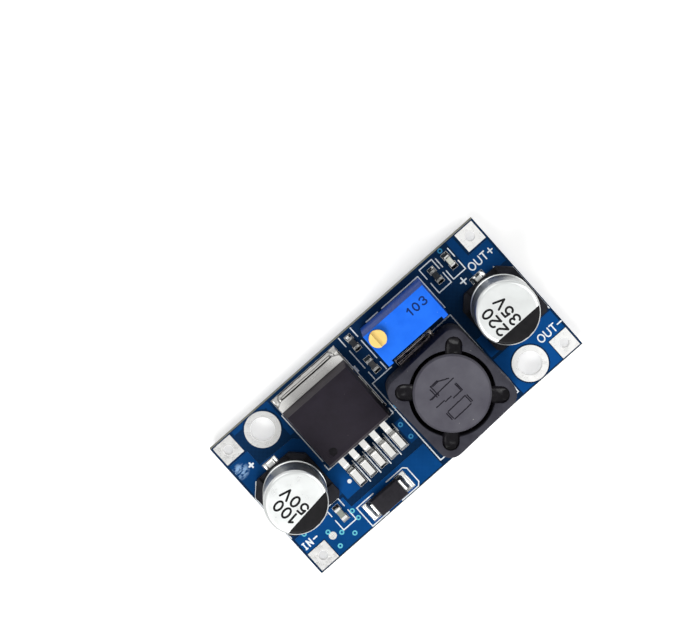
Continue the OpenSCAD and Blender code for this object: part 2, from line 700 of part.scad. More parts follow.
// Radius of the worm at height z (from the thread's foot) and angle a: a trapezoid thread
function thread_phase(z, a) = let (p = z / worm_pitch - a / 360) abs(p - floor(p) - 0.5) * 2;
function thread_r(z, a) = neck_r + (worm_r - neck_r) * min(1, max(0, (thread_phase(z, a) - 0.55) / 0.25));
module worm() {
    rings = worm_turns * steps_per_turn;
    n = thread_sides;
    points = [for (k = [0:rings], i = [0:n - 1])
              let (z = worm_len * k / rings, a = 360 * i / n,
                   r = k == 0 || k == rings ? neck_r - 0.02 : thread_r(z, a))
              [r * cos(a), r * sin(a), z]];
    sides = [for (k = [0:rings - 1], i = [0:n - 1])
             let (a = k * n + i, b = k * n + (i + 1) % n)
             each [[a, a + n, b], [b, a + n, b + n]]];
    ends = [[for (i = [0:n - 1]) i], [for (i = [n - 1:-1:0]) rings * n + i]];
    polyhedron(points, concat(sides, ends));
}
module trimmer_screw() {
    color("#d9a441") screw_at() difference() {
        union() {
            up(screw_tip_z) cylinder(h = worm_z0 - screw_tip_z, r = neck_r);
            up(worm_z0) worm();
            up(worm_z0 + worm_len) cylinder(h = trim_h - worm_z0 - worm_len + run, r = neck_r);
            up(trim_h + run) cylinder(h = screw_out - run, r = screw_r);
        }
        up(trim_h + screw_out - slot_d) box(slot_w, 4 * screw_r, slot_d + past);
    }
}
module trimmer_seal_ring() {
    color("#8c2f22") screw_at() up(trim_h - ring_seat_d + oring_r + seat) rotate_extrude()
        translate([ring_bore_r - oring_r - seat, 0]) circle(oring_r);
}

// One tooth, from the root circle to its crest, about +X; the first gap faces the worm
function tooth(a) =
    let (root = wheel_pitch_r - tooth_in, crest = wheel_pitch_r + tooth_out,
         wide = 0.25 * 360 / teeth, slim = 0.14 * 360 / teeth)
    [for (q = [[root - 0.02, -wide - 0.6], [root, -wide], [crest, -slim], [crest, slim],
               [root, wide]]) q[0] * [cos(a + q[1]), sin(a + q[1])]];
// How far the thread's crest that faces the wheel lies below the wheel's middle, in pitches
mesh_shift = let (s = (wheel_z - worm_z0) / worm_pitch) s - floor(s);
mesh_angle = 360 / teeth * (0.5 + mesh_shift);
module trimmer_wheel() {
    color("#e8e4d8") {
        wheel_at(screw_y + wheel_t / 2) linear_extrude(wheel_t)
            polygon([for (i = [0:teeth - 1]) each tooth(180 + mesh_angle + i * 360 / teeth)]);
        wheel_at(screw_y) cylinder(h = screw_y - hub_end, r = wheel_hub_r);
        wheel_at(cav_y1 + pivot_in) cylinder(h = cav_y1 + pivot_in - element_face + element_t - 2 * run, r = pivot_r);
    }
}
module trimmer_wiper() {
    arm_l = track_r;
    color("#d8b45a") wheel_at(hub_end) difference() {
        union() {
            cylinder(h = wiper_t, r = wheel_hub_r);
            for (a = [80, 100]) rotate(a) {
                translate([0, -0.25, 0]) cube([arm_l, 0.5, wiper_t]);
                translate([arm_l, 0, 0]) cylinder(h = hub_end - element_face - track_t - run, r = 0.25);
            }
        }
        up(-past) cylinder(h = 2 * past, r = pivot_r + seat);
    }
}
module trimmer_element() {
    color("#efece2") trim_at() difference() {
        union() {
            translate([-cav_x + seat, cav_y0 + seat, seal_top])
                cube([2 * (cav_x - seat), element_t, cav_top - seal_top - seat]);
            translate([wheel_x, element_face + track_t, wheel_z]) rotate([90, 0, 0]) rotate(-55)
                rotate_extrude(angle = 290) translate([track_r - track_w / 2, 0])
                    square([track_w, track_t + 0.1]);
        }
        translate([wheel_x, 0, wheel_z]) rotate([90, 0, 0]) cylinder(h = trim_d, r = pivot_r + run);
    }
}
module pins() for (i = [-1:1]) translate([i * pin_pitch, 0, 0]) {
    up(pin_tip_z - top_z) cylinder(h = seal_top + 0.9 - pin_tip_z + top_z, r = pin_r);
    translate([-0.4, element_face + seat / 2, seal_top]) cube([0.8, pin_r - element_face - seat / 2, 1]);
}
module trimmer_pins() color("#c3c5ca") trim_at() pins();
module trimmer_seal() {
    color("#c9a36a") trim_at() difference() {
        translate([-cav_x, cav_y0, foot]) cube([2 * cav_x, cav_y1 - cav_y0, seal_top - foot]);
        for (i = [-1:1]) translate([i * pin_pitch, 0, -past]) cylinder(h = 2 * past + trim_h, r = pin_r + seat);
    }
}

// ---------------------------------------------------------------- can capacitors

can_wall = 0.3;
can_roof = 0.4;
can_edge = 0.5;              // rounding of the can's top edge
plate_t = 0.55;              // base plate under the can
curl_r = 3.1;                // inner radius of the can's curled foot
bead_z = 1.9;                // height of the crimped bead above the curled foot
bead_r = 0.6;
bead_in = 0.4;               // depth of the bead
bung_h = 2.6;
bulge_r = bead_r + can_wall;
term_t = 0.3;
can_z = term_t + plate_t;    // foot of the can above the lands
can_h = can_top - can_z;
term_wire_r = 0.32;
term_pitch = 3.1;
post_gap = 4.6;              // gap between two corner posts

module cap_at(p) at(p) up(land_z) children();
module bead(r) translate([can_r - bead_in + bead_r, bead_z]) circle(r);
module can_solid() up(can_z) rotate_extrude() difference() {
    union() {
        square([can_r, can_h - can_edge]);
        square([can_r - can_edge, can_h]);
        translate([can_r - can_edge, can_h - can_edge]) circle(can_edge);
    }
    difference() {
        translate([-past, can_wall]) square([can_r - can_wall + past, can_h - can_roof - can_wall]);
        bead(bulge_r);
    }
    bead(bead_r);
    translate([-past, -past]) square([curl_r + past, 2 * past]);
}
module wire_pair() for (s = [-1, 1]) translate([0, s * term_pitch / 2, 0]) children();
module bung_solid() up(can_z) difference() {
    rotate_extrude() difference() {
        union() {
            translate([0, can_wall + seat]) square([can_r - can_wall - seat, bung_h - can_wall]);
            square([curl_r - seat, can_wall + 2 * seat]);
        }
        bead(bulge_r + seat);
    }
    wire_pair() cylinder(h = 3 * bung_h, r = term_wire_r + seat, center = true);
}
module roll_solid() up(can_z + bung_h + 0.25) difference() {
    h = can_h - can_roof - bung_h - 0.6;
    cylinder(h = h, r = can_r - can_wall - 0.12);
    up(-past) cylinder(h = h + 2 * past, r = 0.6);
    wire_pair() up(-past) cylinder(h = 3 + past, r = term_wire_r + seat);
}
module terminals_solid() for (s = [-1, 1]) {
    translate([-term_w / 2, s > 0 ? term_pitch / 2 - term_w / 2 : -cap_base / 2 - term_out, 0])
        cube([term_w, cap_base / 2 + term_out - term_pitch / 2 + term_w / 2, term_t]);
    translate([0, s * term_pitch / 2, term_t / 2]) cylinder(h = can_z + bung_h + 2, r = term_wire_r);
}
module base_solid() {
    c = cap_base / 2;
    k = 0.5;                 // chamfer at the negative side
    difference() {
        up(0.05) linear_extrude(base_h) polygon([
            [-c, -c + k], [-c + k, -c], [c - k, -c], [c, -c + k],
            [c, c - base_cut], [c - base_cut, c], [-c + base_cut, c], [-c, c - base_cut]]);
        up(can_z) cylinder(h = base_h + past, r = can_r + seat);
        up(can_z) {
            box(post_gap, 2 * cap_base, base_h);
            box(2 * cap_base, post_gap, base_h);
        }
        // grooves for the flat terminals and holes for their wires
        for (s = [-1, 1])
            translate([-term_w / 2 - seat, s > 0 ? term_pitch / 2 - term_w / 2 - seat : -cap_base, -past])
                cube([term_w + 2 * seat, cap_base - term_pitch / 2 + term_w / 2 + seat, term_t + past]);
        wire_pair() cylinder(h = 3 * base_h, r = term_wire_r + seat, center = true);
    }
}
in_at = [cap_in_u, cap_in_v];
out_at = [cap_out_u, cap_out_v];
module input_cap_can() color("#d7d9dd") cap_at(in_at) can_solid();
module input_cap_base() color("#1d1d20") cap_at(in_at) base_solid();
module input_cap_bung() color("#2a2a2c") cap_at(in_at) bung_solid();
module input_cap_roll() color("#b98d5a") cap_at(in_at) roll_solid();
module input_cap_terminals() color("#c3c5ca") cap_at(in_at) terminals_solid();
module output_cap_can() color("#d7d9dd") cap_at(out_at) can_solid();
module output_cap_base() color("#1d1d20") cap_at(out_at) base_solid();
module output_cap_bung() color("#2a2a2c") cap_at(out_at) bung_solid();
module output_cap_roll() color("#b98d5a") cap_at(out_at) roll_solid();
module output_cap_terminals() color("#c3c5ca") cap_at(out_at) terminals_solid();

// ---------------------------------------------------------------- diode

diode_lead_t = 0.2;
diode_gap = 0.22;            // body above the lands
diode_exit = 1.05;           // height of the leads' middle line at the body
diode_chip_t = 0.25;
diode_chip_w = 1.3;

module diode_at() at([diode_u, diode_v]) up(land_z) children();
// A lead in XZ: flat on the chip inside, out of the body, down and back under it
module diode_lead(z_in) along_y(diode_lead_w) polygon(strip(eased([
    [-diode_chip_w / 2, z_in], [diode_l / 2 - 0.7, z_in], [diode_l / 2 - 0.35, diode_exit],
    [diode_reach - diode_lead_t / 2, diode_exit],
    [diode_reach - diode_lead_t / 2, diode_lead_t / 2], [diode_reach - 1.3, diode_lead_t / 2]], 0.12, 2),
    diode_lead_t));
module both_diode_leads() {
    diode_lead(diode_exit + diode_lead_t / 2 + diode_chip_t / 2);
    rotate(180) diode_lead(diode_exit - diode_lead_t / 2 - diode_chip_t / 2);
}
module diode_chip_solid() up(diode_exit - diode_chip_t / 2) box(diode_chip_w, diode_chip_w, diode_chip_t);
module diode_body() {
    x = diode_l / 2;
    y = diode_w / 2;
    d = 0.2;
    color("#2b2a2d") diode_at() difference() {
        intersection() {
            along_y(diode_w + past) polygon([
                [-x + d, diode_gap], [-x, diode_exit], [-x + d, diode_h],
                [x - d, diode_h], [x, diode_exit], [x - d, diode_gap]]);
            along_x(diode_l + past) polygon([
                [-y + d, diode_gap], [-y, diode_exit], [-y + d, diode_h],
                [y - d, diode_h], [y, diode_exit], [y - d, diode_gap]]);
        }
        both_diode_leads();
        diode_chip_solid();
    }
}
module diode_leads() color("#c3c5ca") diode_at() both_diode_leads();
module diode_chip() color("#5b5f68") diode_at() diode_chip_solid();

// ---------------------------------------------------------------- chips

cap_t = 0.03;                // thickness of a chip's end caps
cap_reach = 0.32;            // and how far they reach over its faces
chip_cap_h = 0.8;
lamp_base_t = 0.3;
lamp_h = 0.75;

module chip_at(p) at(p) up(land_z) children();
module chip_body(h) up(cap_t) box(chip_w - 2 * cap_t, chip_l - 2 * cap_t, h - 2 * cap_t);
module chip_caps(h) difference() {
    for (s = [-1, 1]) translate([0, s * (chip_l - cap_reach) / 2, 0]) box(chip_w, cap_reach, h);
    chip_body(h);
}
module lamp_base() color("#f0eee4") chip_at(lamp_at) chip_body(lamp_base_t);
module lamp_terminals() color("#d9c58a") chip_at(lamp_at) chip_caps(lamp_base_t);
module lamp_lens() {
    x = chip_w / 2 - cap_t;
    color("#f3f1dc") chip_at(lamp_at) up(lamp_base_t - cap_t) intersection() {
        linear_extrude(lamp_h) square([2 * x, chip_l - 2 * cap_reach - 2 * cap_t], center = true);
        along_y(chip_l) polygon([[-x, 0], [-x + 0.06, lamp_h - lamp_base_t + cap_t],
                                 [x - 0.06, lamp_h - lamp_base_t + cap_t], [x, 0]]);
    }
}
module lamp_resistor() color("#202024") chip_at(lamp_resistor_at) chip_body(chip_h);
module lamp_resistor_caps() color("#c9ccd2") chip_at(lamp_resistor_at) chip_caps(chip_h);
module divider_resistor() color("#202024") chip_at(divider_at) chip_body(chip_h);
module divider_resistor_caps() color("#c9ccd2") chip_at(divider_at) chip_caps(chip_h);
module feedback_resistor() color("#55585a") chip_at(feedback_at) chip_body(chip_h);
module feedback_resistor_caps() color("#c9ccd2") chip_at(feedback_at) chip_caps(chip_h);
module chip_capacitor() color("#a08e76") chip_at(chip_cap_at) chip_body(chip_cap_h);
module chip_capacitor_caps() color("#c9ccd2") chip_at(chip_cap_at) chip_caps(chip_cap_h);

// ---------------------------------------------------------------- nodes

circuit_board();
wire_pads();
mounting_rings();
hole_rings();
via_rings();
solder_lands();
solder_joints();
pin_solder();
regulator_body();
regulator_tab();
regulator_leads();
regulator_chip();
regulator_straps();
inductor_shield();
inductor_drum();
inductor_winding();
inductor_base();
inductor_clips();
inductor_glue();
trimmer_housing();
trimmer_screw();
trimmer_seal_ring();
trimmer_wheel();
trimmer_wiper();
trimmer_element();
trimmer_pins();
trimmer_seal();
input_cap_can();
input_cap_base();
input_cap_bung();
input_cap_roll();
input_cap_terminals();
output_cap_can();
output_cap_base();
output_cap_bung();
output_cap_roll();
output_cap_terminals();
diode_body();
diode_leads();
diode_chip();
lamp_base();
lamp_lens();
lamp_terminals();
lamp_resistor();
lamp_resistor_caps();
divider_resistor();
divider_resistor_caps();
feedback_resistor();
feedback_resistor_caps();
chip_capacitor();
chip_capacitor_caps();
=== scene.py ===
import json
import math
import bpy
import bmesh
import numpy as np
from mathutils import Euler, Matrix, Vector, noise
from mathutils.geometry import delaunay_2d_cdt

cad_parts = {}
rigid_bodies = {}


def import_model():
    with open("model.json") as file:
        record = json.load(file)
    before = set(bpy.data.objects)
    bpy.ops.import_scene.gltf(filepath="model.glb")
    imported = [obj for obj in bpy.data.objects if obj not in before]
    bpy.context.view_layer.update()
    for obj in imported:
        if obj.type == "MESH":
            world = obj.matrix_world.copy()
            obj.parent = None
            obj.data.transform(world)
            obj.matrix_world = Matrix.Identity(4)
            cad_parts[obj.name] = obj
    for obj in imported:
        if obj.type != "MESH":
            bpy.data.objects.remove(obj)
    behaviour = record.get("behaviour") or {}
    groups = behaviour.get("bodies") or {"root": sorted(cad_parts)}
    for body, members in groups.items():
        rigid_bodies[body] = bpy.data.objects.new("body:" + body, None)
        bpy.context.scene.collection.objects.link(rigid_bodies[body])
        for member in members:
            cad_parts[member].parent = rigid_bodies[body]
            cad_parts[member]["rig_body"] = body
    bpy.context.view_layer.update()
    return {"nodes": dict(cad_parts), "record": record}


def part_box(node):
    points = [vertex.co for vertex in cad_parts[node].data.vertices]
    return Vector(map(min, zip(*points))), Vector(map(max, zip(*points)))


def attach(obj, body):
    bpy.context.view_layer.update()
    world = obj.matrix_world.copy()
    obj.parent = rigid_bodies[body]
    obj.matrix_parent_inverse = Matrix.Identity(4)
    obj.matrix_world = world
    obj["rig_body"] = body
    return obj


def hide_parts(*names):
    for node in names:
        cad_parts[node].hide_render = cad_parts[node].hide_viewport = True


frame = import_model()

MM = 0.001
NODES = frame["nodes"]
BOARD_LO, BOARD_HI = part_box("circuit_board")
TOP, UNDER = BOARD_HI.z, BOARD_LO.z
LAND_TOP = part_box("solder_lands")[1].z
BOARD_L = (BOARD_HI.x - BOARD_LO.x) / MM
BOARD_W = (BOARD_HI.y - BOARD_LO.y) / MM


def row(u, v):
    """A place on the board, in millimetres from its near input corner, as metres in the row frame."""
    return BOARD_LO.x + u * MM, BOARD_LO.y + v * MM


# ------------------------------------------------------------------ materials

def srgb(r, g, b):
    """An sRGB colour, 0 to 255, as a linear RGBA value."""
    def linear(c):
        c /= 255
        return c / 12.92 if c <= 0.04045 else ((c + 0.055) / 1.055) ** 2.4
    return linear(r), linear(g), linear(b), 1.0


class Mat:
    """A node material round one Principled shader, on the object's own coordinates in millimetres."""

    def __init__(self, name, **values):
        self.mat = bpy.data.materials.new(name)
        self.mat.use_nodes = True
        self.tree = self.mat.node_tree
        self.shader = self.tree.nodes["Principled BSDF"]
        coords = self.new("TexCoord")
        scale = self.new("Mapping")
        scale.inputs["Scale"].default_value = (1 / MM,) * 3
        self.tree.links.new(coords.outputs["Object"], scale.inputs["Vector"])
        self.mm = scale.outputs["Vector"]
        self.set(**values)

    def put(self, socket, value):
        if isinstance(value, bpy.types.NodeSocket):
            self.tree.links.new(value, socket)
        else:
            socket.default_value = value

    def set(self, **values):
        for key, value in values.items():
            self.put(self.shader.inputs[key.replace("_", " ")], value)
        return self

    def new(self, kind):
        return self.tree.nodes.new("ShaderNode" + kind)

    def stretched(self, scale, turn=0.0):
        n = self.new("Mapping")
        n.inputs["Scale"].default_value = scale
        n.inputs["Rotation"].default_value = (0, 0, turn)
        self.tree.links.new(self.mm, n.inputs["Vector"])
        return n.outputs["Vector"]

    def noise(self, scale, detail=3.0, rough=0.5, at=None, distort=0.0):
        n = self.new("TexNoise")
        for key, value in (("Vector", at or self.mm), ("Scale", scale), ("Detail", detail),
                           ("Roughness", rough), ("Distortion", distort)):
            self.put(n.inputs[key], value)
        return n.outputs[0]

    def maths(self, op, a, b=0.0, clamp=False):
        n = self.new("Math")
        n.operation = op
        n.use_clamp = clamp
        self.put(n.inputs[0], a)
        self.put(n.inputs[1], b)
        return n.outputs[0]

    def ramp(self, fac, lo, hi, a=0.0, b=1.0):
        """fac from lo..hi to a..b, held at the ends."""
        n = self.new("MapRange")
        for i, value in enumerate((fac, lo, hi, a, b)):
            self.put(n.inputs[i], value)
        return n.outputs[0]

    def mix(self, fac, a, b):
        n = self.new("Mix")
        n.data_type = "RGBA"
        self.put(n.inputs[0], fac)
        self.put(n.inputs[6], a)
        self.put(n.inputs[7], b)
        return n.outputs[2]

    def axis(self, name):
        n = self.new("SeparateXYZ")
        self.tree.links.new(self.mm, n.inputs[0])
        return n.outputs[name]

    def facing(self, normal="True Normal"):
        """How far a normal points along the object's Z."""
        to = self.new("VectorTransform")
        to.vector_type = "NORMAL"
        to.convert_from, to.convert_to = "WORLD", "OBJECT"
        self.tree.links.new(self.new("NewGeometry").outputs[normal], to.inputs[0])
        n = self.new("SeparateXYZ")
        self.tree.links.new(to.outputs[0], n.inputs[0])
        return n.outputs["Z"]

    def bump(self, height, distance):
        """Bump of a height field; distance is in millimetres."""
        n = self.new("Bump")
        n.inputs["Distance"].default_value = distance * MM
        self.put(n.inputs["Height"], height)
        self.tree.links.new(n.outputs[0], self.shader.inputs["Normal"])

    def specks(self, scale, size, share):
        """Small round spots: 1 inside a spot. share is how many of the cells have one."""
        n = self.new("TexVoronoi")
        self.tree.links.new(self.mm, n.inputs["Vector"])
        n.inputs["Scale"].default_value = scale
        near = self.ramp(n.outputs["Distance"], size, size * 0.6)
        pick = self.new("SeparateColor")
        self.tree.links.new(n.outputs["Color"], pick.inputs[0])
        return self.maths("MULTIPLY", near, self.maths("LESS_THAN", pick.outputs[0], share))


RUB_MID = (0.95, 16.35)     # the rubbed print beside the positive input pad, on the board
RUB_HALF = (1.2, 1.0)
WEAVE = 9.0                 # the glass weave's wave, in radians for each millimetre


def mask_material(name, deep, bright, smear=False):
    """Blue solder mask; the cut sides of the board show the pale laminate."""
    m = Mat(name, Specular_IOR_Level=0.2, Specular_Tint=(0.10, 0.45, 1.0, 1))
    cloud = m.noise(0.16, 4.0, 0.55)
    colour = m.mix(m.ramp(cloud, 0.32, 0.68), deep, bright)
    # glass weave, just visible under the mask
    weave = m.maths("MULTIPLY", m.maths("SINE", m.maths("MULTIPLY", m.axis("X"), WEAVE)),
                    m.maths("SINE", m.maths("MULTIPLY", m.axis("Y"), WEAVE)))
    colour = m.mix(m.maths("MULTIPLY", m.ramp(weave, -1.0, 1.0), 0.03), colour, srgb(40, 110, 180))
    if smear:
        u0, v0 = BOARD_LO.x / MM + RUB_MID[0], BOARD_LO.y / MM + RUB_MID[1]
        du = m.maths("DIVIDE", m.maths("SUBTRACT", m.axis("X"), u0), RUB_HALF[0])
        dv = m.maths("DIVIDE", m.maths("SUBTRACT", m.axis("Y"), v0), RUB_HALF[1])
        far = m.maths("ADD", m.maths("MULTIPLY", du, du), m.maths("MULTIPLY", dv, dv))
        streak = m.noise(1.0, 4.0, 0.6, at=m.stretched((1.6, 5.5, 1.0), -0.35), distort=0.5)
        blot = m.noise(1.5, 3.0, 0.6)
        patchy = m.ramp(m.maths("ADD", streak, blot), 0.9, 1.1)
        on = m.maths("MULTIPLY", m.ramp(far, 1.2, 0.3), patchy)
        colour = m.mix(m.maths("MULTIPLY", on, 0.85), colour, srgb(150, 185, 222))
    laminate = m.mix(m.noise(6.0, 5.0, 0.7), srgb(96, 98, 88), srgb(178, 176, 160))
    side = m.ramp(m.maths("ABSOLUTE", m.facing()), 0.5, 0.3)
    m.set(Base_Color=m.mix(side, colour, laminate), Roughness=m.ramp(side, 0.0, 1.0, 0.32, 0.75))
    m.bump(m.noise(2.0, 3.0, 0.5), 0.008)
    return m.mat


def metal(name, colour, tint, rough, grain, scale, bump, stain_and_glints=0.3, painted_side_shading=0.3, flat=0.97,
          shade=None, painted_highlight=None, spread=(0.35, 0.75)):
    """Tinned, plated or bare metal: cloudy colour, uneven gloss and a fine grain.
    painted_side_shading is how dark its steep sides are painted beside its flat tops, a painted shade,
    and stain_and_glints how much of the tint the clouds bring, over the part of them in spread:
    stains, and painted glints and dark reflection on the dark solder and caps.
    shade paints light and shade into the colour by place, and painted_highlight is a paler colour
    painted left of an x."""
    m = Mat(name, Metallic=1.0)
    cloud = m.noise(scale, 3.0, 0.5, at=m.stretched(grain))
    fine = m.noise(scale * 5, 2.0, 0.5, at=m.stretched(grain))
    # stains from the clouds; on the dark solder and caps they paint glints and dark reflection instead
    out = m.mix(m.maths("MULTIPLY", m.ramp(cloud, *spread), stain_and_glints), colour, tint)
    # painted highlight: a paler colour left of an x
    if painted_highlight:
        out = m.mix(m.maths("LESS_THAN", m.axis("X"), painted_highlight[1]), out, painted_highlight[0])
    # painted shade: the steep sides are darkened beside the flat tops
    level = m.ramp(m.maths("ABSOLUTE", m.facing("Normal")), 0.45, flat, painted_side_shading, 1.0)
    # painted light and shade that differ by place
    if shade:
        level = m.maths("MULTIPLY", level, shade(m))
    m.set(Base_Color=m.mix(level, (0, 0, 0, 1), out))
    m.set(Roughness=m.ramp(m.maths("ADD", cloud, m.maths("MULTIPLY", fine, 0.5)), 0.45, 1.05, *rough))
    m.bump(m.maths("ADD", cloud, m.maths("MULTIPLY", fine, 0.25)), bump)
    return m.mat


def plastic(name, colour, tint, rough, scale, grain, bump, level, dust=None, coat=0.0, painted_side_shading=None):
    """Moulded or pressed material: two shades, matt and glossy patches, a fine skin and dust.
    painted_side_shading is a colour painted on its steep sides: painted light on the epoxy, painted
    shade on the blue housing."""
    m = Mat(name, Specular_IOR_Level=level, Coat_Weight=coat, Coat_Roughness=0.12)
    cloud = m.noise(scale, 4.0, 0.55)
    fine = m.noise(grain, 3.0, 0.6)
    out = m.mix(m.ramp(cloud, 0.3, 0.7), colour, tint)
    # painted light and shade: the steep sides take another colour
    if painted_side_shading:
        out = m.mix(m.ramp(m.maths("ABSOLUTE", m.facing()), 0.98, 0.9), out, painted_side_shading)
    if dust:
        size, share, pale = dust
        spots = m.maths("MAXIMUM", m.specks(1.1, size, share),
                        m.specks(2.3, size * 1.3, share * 0.6))
        out = m.mix(spots, out, pale)
    m.set(Base_Color=out, Roughness=m.ramp(m.maths("ADD", cloud, fine), 0.7, 1.3, *rough))
    m.bump(m.maths("ADD", fine, m.maths("MULTIPLY", cloud, 0.6)), bump)
    return m.mat


def painted_light_rightwards(m):
    """Painted light: the tinned faces are painted brighter towards the output's negative pad."""
    across = m.maths("SUBTRACT", m.axis("X"), m.maths("MULTIPLY", m.axis("Y"), 0.5))
    return m.ramp(across, -15.0, 18.0, 0.70, 1.12)


def tab_painted_shade(m):
    """Painted shade: the tab's bare strip is painted greyer in its middle, with a painted shadow along
    the body, and it is dark along its far edge.
    """
    away = m.maths("ABSOLUTE", m.maths("SUBTRACT", m.axis("X"), TAB_MID))
    strip = m.ramp(m.axis("Y"), 4.0, 5.0)
    # painted shade: the middle of the strip is painted greyer
    grey = m.maths("MULTIPLY", m.ramp(away, 4.9, 2.6, 0.0, 0.45), strip)
    far_line = m.ramp(m.axis("Y"), TAB_END - 0.22, TAB_END - 0.10, 0.0, 0.8)
    # painted shadow of the body along the strip's near edge
    body_shadow_line = m.ramp(m.axis("Y"), TAB_START + 0.10, TAB_START + 0.02, 0.0, 0.85)
    dark = m.maths("MULTIPLY", body_shadow_line, strip)
    for line in (grey, far_line):
        dark = m.maths("ADD", dark, line)
    return m.maths("SUBTRACT", 1.0, dark, clamp=True)


tab_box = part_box("regulator_tab")
TAB_MID = (tab_box[0].x + tab_box[1].x) / 2 / MM
TAB_END = tab_box[1].y / MM
TAB_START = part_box("regulator_body")[1].y / MM

M = {
    "mask_bare": mask_material("mask_bare", srgb(8, 27, 52), srgb(14, 38, 72)),
    "mask_copper": mask_material("mask_copper", srgb(8, 62, 118), srgb(14, 74, 142)),
    "mask_dim": mask_material("mask_dim", srgb(9, 50, 98), srgb(12, 60, 114), smear=True),
    "mask_under": mask_material("mask_under", srgb(8, 62, 132), srgb(12, 78, 152)),
}

# colour, tint, roughness range, stretch and scale of the grain, bump in millimetres, and the rest
EVEN = (1, 1, 1)
METALS = {
    "tin": ((0.88, 0.88, 0.87), (0.70, 0.69, 0.66), (0.22, 0.38), EVEN, 1.6, 0.02,
            dict(painted_side_shading=0.55, shade=painted_light_rightwards)),
    "plate": ((0.90, 0.90, 0.89), (0.72, 0.71, 0.69), (0.3, 0.45), EVEN, 1.6, 0.006, dict(painted_side_shading=0.9)),
    "lead": ((0.88, 0.88, 0.86), (0.66, 0.66, 0.60), (0.18, 0.28), (1.4, 0.7, 1), 1.1, 0.004,
             dict(painted_side_shading=0.16, flat=0.99)),
    "tab": ((0.82, 0.81, 0.79), (0.62, 0.61, 0.59), (0.20, 0.32), (0.35, 1.2, 1), 0.9, 0.006,
            dict(painted_side_shading=0.10, flat=0.99, shade=tab_painted_shade)),
    "clip": ((0.34, 0.30, 0.29), (0.16, 0.13, 0.14), (0.22, 0.34), (1.4, 2, 1), 1.3, 0.02,
             dict(stain_and_glints=0.8, painted_side_shading=0.4)),
    "solder": ((0.90, 0.91, 0.89), (0.60, 0.60, 0.57), (0.12, 0.24), EVEN, 1.2, 0.008,
               dict(painted_side_shading=0.03, flat=0.985)),
    # painted reflection: the solder on the far chips is painted dark, with sparse painted glints
    "solder_painted_reflection": ((0.02, 0.025, 0.03), (0.80, 0.80, 0.78), (0.12, 0.24), EVEN, 2.0, 0.01,
                    dict(stain_and_glints=1.0, painted_side_shading=0.15, flat=0.99, spread=(0.53, 0.60))),
    # painted reflection: the far chips' caps are painted dark, with darker patches
    "caps_painted_reflection": ((0.42, 0.42, 0.41), (0.14, 0.14, 0.14), (0.16, 0.28), EVEN, 2.4, 0.006,
                 dict(stain_and_glints=0.9, painted_side_shading=0.1, flat=0.99, spread=(0.42, 0.6))),
    "solder_brown": ((0.50, 0.45, 0.43), (0.24, 0.21, 0.20), (0.14, 0.26), (0.6, 1, 1), 1.2, 0.006,
                     dict(stain_and_glints=0.7, painted_side_shading=0.02, flat=0.985)),
    # painted shade: the solder under the tab's end is painted darker than the rest
    "tab_solder": ((0.55, 0.54, 0.52), (0.30, 0.30, 0.29), (0.14, 0.28), (0.4, 1, 1), 1.2, 0.006,
                   dict(painted_side_shading=0.05, flat=0.99)),
    "solder_under": ((0.70, 0.69, 0.68), (0.44, 0.43, 0.42), (0.14, 0.30), EVEN, 1.2, 0.02, {}),
    # painted highlight: the vias near the negative input are painted pale cyan
    "via": ((0.03, 0.17, 0.33), (0.06, 0.24, 0.38), (0.3, 0.45), EVEN, 3.0, 0.006,
            dict(painted_side_shading=1.0, painted_highlight=((0.10, 0.40, 0.48, 1), -12.0))),
    "brass": ((0.95, 0.68, 0.23), (0.80, 0.54, 0.16), (0.26, 0.38), (1.5, 1, 1), 1.0, 0.006,
              dict(painted_side_shading=0.35)),
    "can": ((0.76, 0.78, 0.77), (0.70, 0.72, 0.72), (0.26, 0.36), (1, 1, 3), 0.5, 0.003,
            dict(painted_side_shading=0.62)),
    "wire": ((0.72, 0.30, 0.12), (0.55, 0.22, 0.08), (0.2, 0.35), EVEN, 3.0, 0.01, {}),
    "spring": ((0.82, 0.68, 0.38), (0.66, 0.52, 0.26), (0.2, 0.34), (1, 6, 1), 2.0, 0.01, {}),
    "silicon": ((0.36, 0.37, 0.42), (0.30, 0.30, 0.36), (0.06, 0.14), EVEN, 2.0, 0.002, {}),
    "bond": ((0.88, 0.88, 0.88), (0.80, 0.80, 0.80), (0.16, 0.26), EVEN, 4.0, 0.004, {}),
}
for name, (colour, tint, *values, rest) in METALS.items():
    M[name] = metal(name, (*colour, 1), (*tint, 1), *values, **rest)

